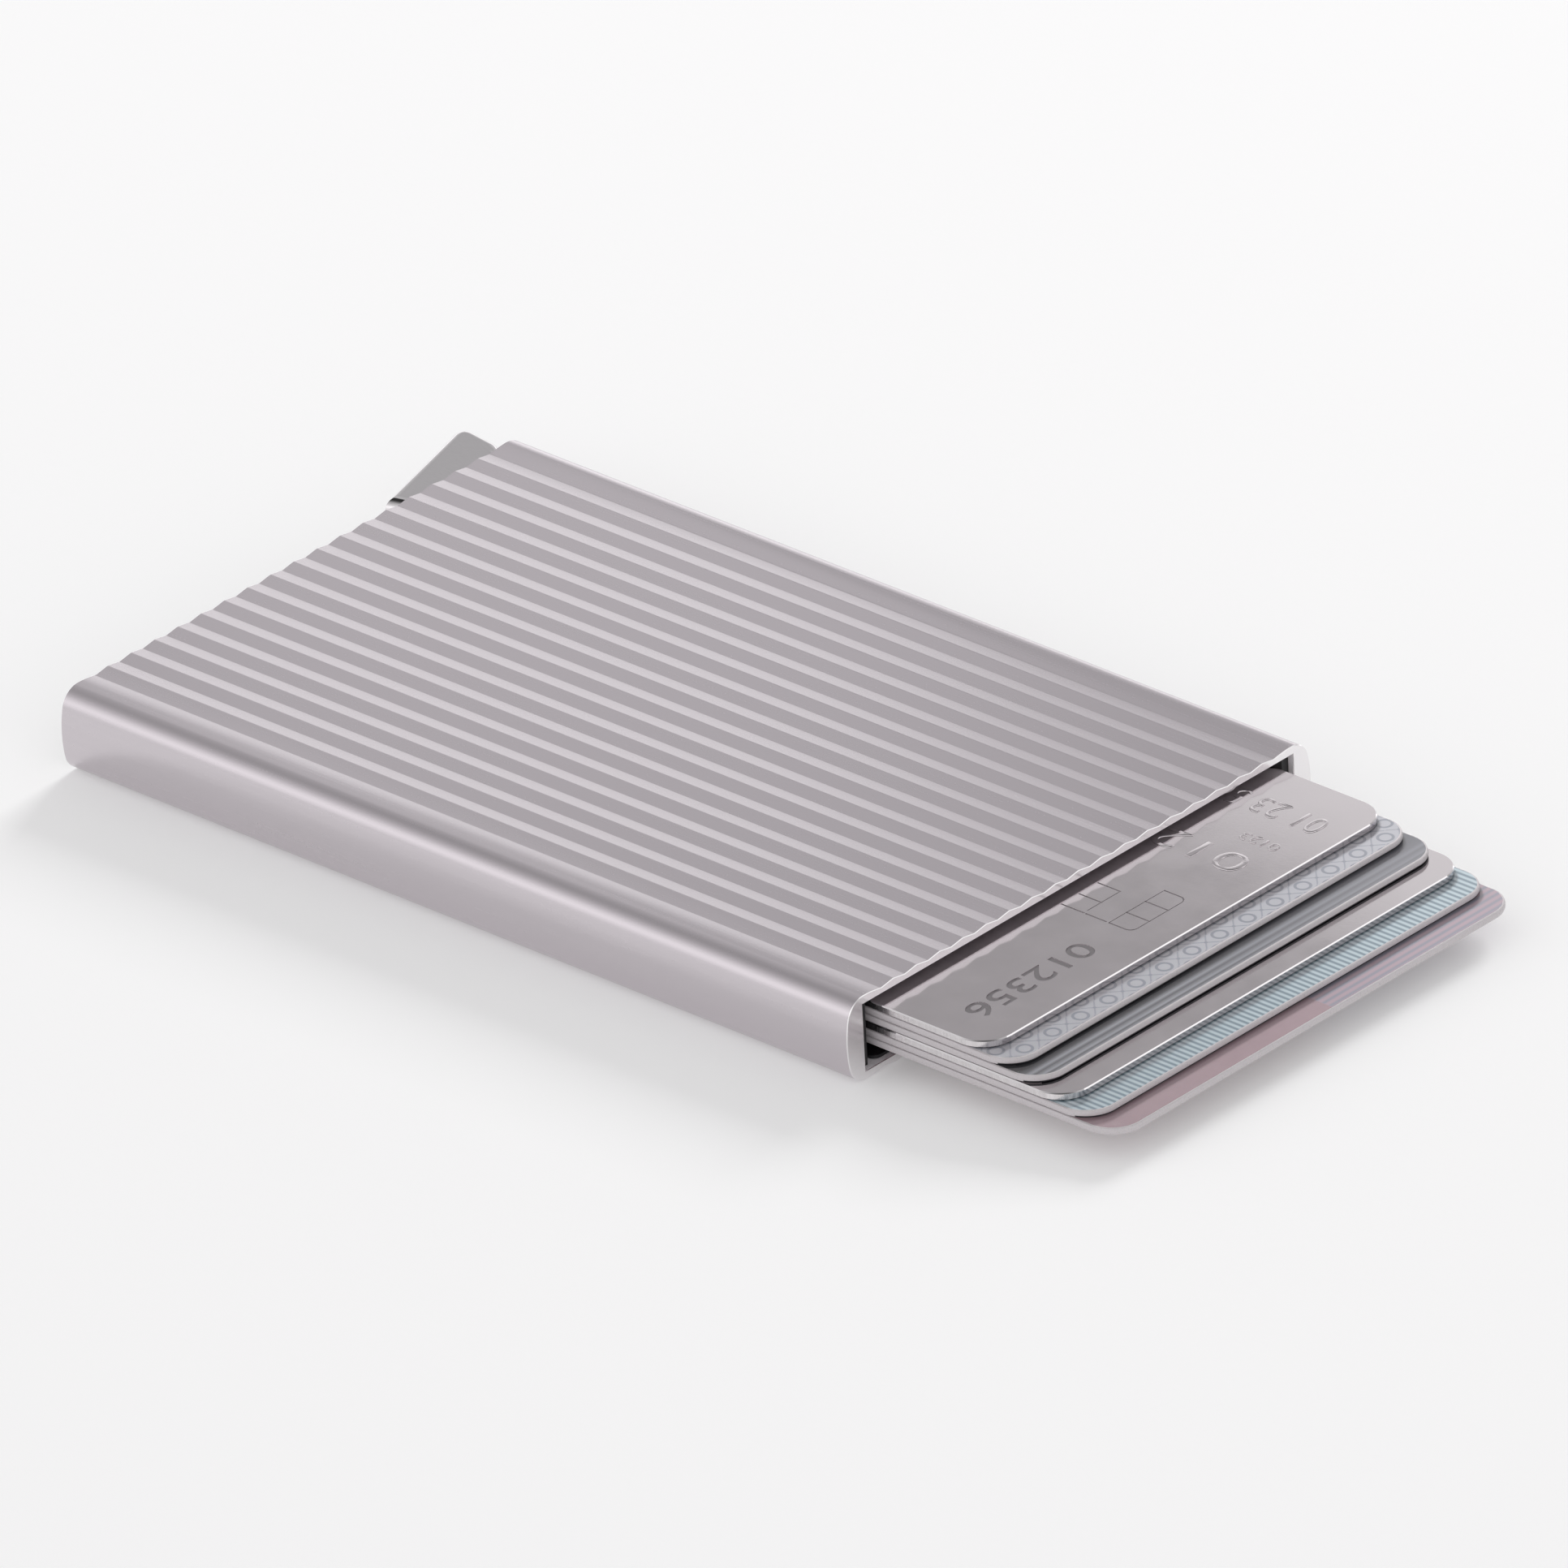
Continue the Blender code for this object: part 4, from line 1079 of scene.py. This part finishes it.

# %% [markdown]
# The other three prints are bundles of straight lines. The slate card has dark bars close behind
# its front edge, which fade towards one side, and its last stops, from 2.15 to 3 mm behind the edge,
# are painted shadow where the card above stands. The light blue one has even stripes along it, and
# the pink one has fine lines across one half. A bar's place is millimetres behind the edge, and its
# brightness comes after it.

# %% Card finishes: bars, stripes and painted shadow
# The last two stops, 2.15 to 3 mm behind the edge, are painted shadow under the card above.
SLATE_BARS_AND_SHADOW = (
    (0.2, 0.34), (0.55, 0.09), (0.8, 0.32), (1.35, 0.1), (1.7, 0.3), (2.15, 0.1), (3.0, 0.04),
)
SLATE_TINT = (0.96, 0.97, 1.08)
SLATE_FADE = (-8, 22)
STRIPE_PITCH = 0.68
PINK_PITCH = 0.82
PINK_START = 0.1
PINK_BORDER = (1.9, 2.1)

slate = Print("card_slate", (0.2, 0.2, 0.225), 3)
SLATE_END = SLATE_BARS_AND_SHADOW[-1][0]
bars_and_shadow = slate.add("ShaderNodeValToRGB", {"Fac": slate.math("DIVIDE", slate.back, SLATE_END)})
while len(bars_and_shadow.color_ramp.elements) < len(SLATE_BARS_AND_SHADOW):
    bars_and_shadow.color_ramp.elements.new(0.5)
for element, (behind_edge, level) in zip(bars_and_shadow.color_ramp.elements, SLATE_BARS_AND_SHADOW):
    element.position = behind_edge / SLATE_END
    element.color = (*shade(SLATE_TINT, level), 1)
slate.lay(slate.span(slate.across, 1, 0.3, *SLATE_FADE), bars_and_shadow.outputs[0])

stripes = Print("card_light_blue", (0.51, 0.61, 0.66), 5)
beside = stripes.cell(stripes.across, STRIPE_PITCH)[1]
stripes.lay(stripes.line(beside, 0.12, 0.24), (0.2, 0.27, 0.32))

pink = Print("card_pink", (0.4, 0.285, 0.315), 6)
striped = pink.span(pink.across, 0, 1, *PINK_BORDER)
beside = pink.cell(pink.back, PINK_PITCH, PINK_START)[1]
pink.lay(striped, (0.45, 0.34, 0.39))
pink.lay(pink.math("MULTIPLY", pink.line(beside, 0.08, 0.3), striped), (0.31, 0.3, 0.36))

# %% [markdown]
# Each card wears its own finish on its top, its back and, if it is metal, its front face. Which
# finish the other faces get follows from the way they point: sideways is an edge, down and forward
# is the lower bevel, which wears painted contact shadow on all but the lowest card, and up but not
# quite level is a metal card's upper bevel. The struck digits stand above the card's top and stay as
# they are.

# %% Card finishes: who wears what
# Slot 2 is the painted contact shadow on the lower front bevel.
EDGE, CONTACT_SHADOW_SLOT, GROOVE_SHADE_SLOT, UPPER_BEVEL = 1, 2, 3, 4


def card_slot(face, metal, shaded_below):
    """The number of the finish that a card's face wears."""
    forward, lift = face.normal.x, face.normal.z
    # A card with another card under it gets painted contact shadow on its lower front bevel.
    if shaded_below and lift < -LEANING and forward > LEANING:
        return CONTACT_SHADOW_SLOT
    if metal and abs(lift) < LEANING and forward <= FACING:
        return EDGE
    if not metal and abs(lift) < FACING:
        return EDGE
    if metal and LEANING < lift < FACING and face.center.z < card_high.z:
        return UPPER_BEVEL
    return 0


card_finishes = [
    card_metal, rings.done(), slate.done(), card_plain_metal, stripes.done(), pink.done(),
]
for number, (card, finish) in enumerate(zip(cards, card_finishes), 1):
    metal = number in METAL_CARDS
    dress(card, finish, milled if metal else core, painted_contact_shadow, painted_groove_shade, polish)
    for face in card.data.polygons:
        face.material_index = card_slot(face, metal, shaded_below=number < CARDS)
# The floor of the grooves wears painted shade.
for face in top_card.data.polygons:
    depth = card_high.z - face.center.z
    if face.normal.z > FACING and 2 * TINY < depth < 1.5 * GROOVE_DEPTH:
        face.material_index = GROOVE_SHADE_SLOT
print("finishes:", [finish.name for finish in card_finishes])

# %% [markdown]
# The sleeve, the tab and the cards stand for the imported ones, which are hidden: each rides on its
# own body, so that it moves with it.

# %% Seat the pieces on their bodies


def seat(piece, body, node):
    """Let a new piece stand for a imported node."""
    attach(piece, body)
    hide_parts(node)


seat(tube, "sleeve", "tube")
seat(tab, "lever", "thumb_tab")
for number, (card, finish) in enumerate(zip(cards, card_finishes), 1):
    seat(card, f"card_{number}", f"card_{number}")
print("seated", 2 + len(cards), "pieces")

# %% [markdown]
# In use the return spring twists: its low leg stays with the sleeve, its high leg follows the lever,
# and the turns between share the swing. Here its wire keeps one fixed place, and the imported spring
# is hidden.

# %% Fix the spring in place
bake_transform(wire)
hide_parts("return_spring")

# %% [markdown]
# The holder lies on a white table, a large pale plane just under it. A little light of its own,
# seen only by the camera and in reflections, lifts it to white without lighting the object. The
# rest of its tone comes from the lamps, so it still carries the soft shadow.

# %% Table
TABLE_HALF = 3.0
TABLE_DROP = 0.02 * MM
TABLE_COLOUR = (0.8, 0.8, 0.8)
TABLE_LIFT = 0.2

under = (0, 0, -TABLE_DROP)
table = new_piece("table", bpy.ops.mesh.primitive_plane_add, size=2 * TABLE_HALF, location=under)
paper = Finish("table_white", TABLE_COLOUR, roughness=0.9, specular=0.1)
rays = paper.add("ShaderNodeLightPath").outputs
seen = paper.math("ADD", rays["Is Camera Ray"], rays["Is Glossy Ray"])
seen = paper.math("ADD", seen, rays["Is Transmission Ray"], clamp=True)
paper.set("Emission Color", (1, 1, 1, 1))
paper.feed("Emission Strength", paper.math("MULTIPLY", seen, TABLE_LIFT))
dress(table, paper)
print("table", 2 * TABLE_HALF, "m wide")

# %% [markdown]
# A metal shows what stands around it, so the room is painted as a photographer would hang it: pale
# walls, a bright strip low down behind, a bright wall on the near side that draws the streak along
# the sleeve, and a black ceiling, which makes the dark band over the round edges. Each half of the
# room is a ramp over the height of the direction, from 0 for level to 1 for straight up, each stop
# with its brightness. The two are blended across the middle.

# %% Room
FAR_WALL = (
    (0.0, 1.7), (0.07, 1.5), (0.18, 0.8), (0.24, 0.66), (0.35, 0.62), (0.48, 0.48), (0.6, 0.52),
    (0.7, 0.6), (0.79, 0.57), (0.85, 0.3), (0.9, 0.04), (1.0, 0.01),
)
NEAR_WALL = (
    (0.0, 0.9), (0.16, 1.08), (0.31, 1.32), (0.45, 1.2), (0.57, 0.98), (0.66, 0.74), (0.74, 0.6),
    (0.8, 0.48), (0.86, 0.2), (0.9, 0.04), (1.0, 0.01),
)
ROOM_TINT = (1.0, 0.99, 1.0)
BLEND_HALF = 0.3

room = bpy.data.worlds.new("room")
room.use_nodes = True
bpy.context.scene.world = room
tree = room.node_tree
toward = tree.nodes.new("ShaderNodeTexCoord").outputs["Generated"]
split = tree.nodes.new("ShaderNodeSeparateXYZ")
tree.links.new(toward, split.inputs[0])


def wall_ramp(stops):
    """Brightness over the height of the direction."""
    ramp = tree.nodes.new("ShaderNodeValToRGB")
    tree.links.new(split.outputs["Z"], ramp.inputs[0])
    elements = ramp.color_ramp.elements
    elements[0].position = 0
    elements[1].position = 1
    for stop in stops[1:-1]:
        elements.new(stop[0])
    for element, stop in zip(elements, stops):
        element.color = (*(stop[1] * tint for tint in ROOM_TINT), 1)
    return ramp.outputs[0]


halves = tree.nodes.new("ShaderNodeMapRange")
halves.interpolation_type = "SMOOTHSTEP"
halves.inputs["From Min"].default_value = -BLEND_HALF
halves.inputs["From Max"].default_value = BLEND_HALF
tree.links.new(split.outputs["Y"], halves.inputs["Value"])
walls = tree.nodes.new("ShaderNodeMix")
walls.data_type = "RGBA"
tree.links.new(halves.outputs[0], walls.inputs[0])
tree.links.new(wall_ramp(NEAR_WALL), walls.inputs[6])
tree.links.new(wall_ramp(FAR_WALL), walls.inputs[7])
tree.links.new(walls.outputs[2], tree.nodes["Background"].inputs["Color"])
print("room painted with", len(FAR_WALL) + len(NEAR_WALL), "bands")

# %% [markdown]
# The lamps share the work. A wide soft one overhead and a key from behind light all but the cards
# evenly and throw the soft shadow towards the viewer, and a small one close by lights the cards from
# behind, but none of these show in the metal. The other panels do the opposite: they only show as
# reflections, on the sleeve and on the cards. A panel is given by the direction it stands in, its
# distance and size in metres, the brightness wanted on its face, the pieces it lights, whether it
# lights the matt or the glossy share of them, and what it aims at. Its power follows from its size
# and that brightness.

# %% Lamps
CORNER = (REAR, CAVITY_HALF, TOP)
BESIDE_CARDS = (-105 * MM, 0, 85 * MM)
FAR_RIGHT = (0.5, 0.6, 0.62)


def panel(name, toward, distance, size, level, only, lights, aim=(0, 0, 0)):
    """A square lamp that faces a point of the object from a direction, and lights some pieces."""
    data = bpy.data.lights.new(name, "AREA")
    data.size = size
    data.energy = math.pi * level * size**2
    lamp = bpy.data.objects.new(name, data)
    direction = Vector(toward).normalized()
    lamp.location = Vector(aim) + direction * distance
    lamp.rotation_mode = "QUATERNION"
    lamp.rotation_quaternion = direction.to_track_quat("Z", "Y")
    lamp.visible_camera = False
    lamp.visible_diffuse = lights == "matt"
    lamp.visible_glossy = lights == "gloss"
    bpy.context.scene.collection.objects.link(lamp)
    lit = bpy.data.collections.new(f"{name}_lights")
    for piece in only:
        lit.objects.link(piece)
    lamp.light_linking.receiver_collection = lit
    print(name, "shines at", round(data.energy, 3), "W")


others = [piece for piece in bpy.data.objects if piece.type == "MESH" and piece not in cards]
panel("sky", (0, 0, 1), 1.4, 1.6, 0.45, others, "matt")
panel("key", (-0.2, 0.86, 0.47), 2.0, 0.7, 13.5, others, "matt")
panel("card_key", (-0.62, 0.56, 0.55), 0.122, 0.02, 105, cards, "matt", (front, 0, MIDDLE))
panel("card_panel", (0, 1, 0), 0.2, 0.12, 0.5, cards, "gloss", BESIDE_CARDS)
panel("card_edge_panel", FAR_RIGHT, 0.6, 0.24, 0.8, cards, "gloss", (front, 0, TOP))
panel("mouth_panel", FAR_RIGHT, 0.6, 0.4, 0.45, [tube], "gloss", (MOUTH, 0, TOP))
panel("rear_panel", (-0.604, 0.762, 0.234), 0.4, 0.12, 0.42, [tube], "gloss", (REAR, 0, TOP))
panel("corner_panel", (-0.604, 0.45, 0.66), 0.28, 0.1, 0.2, [tube], "gloss", CORNER)
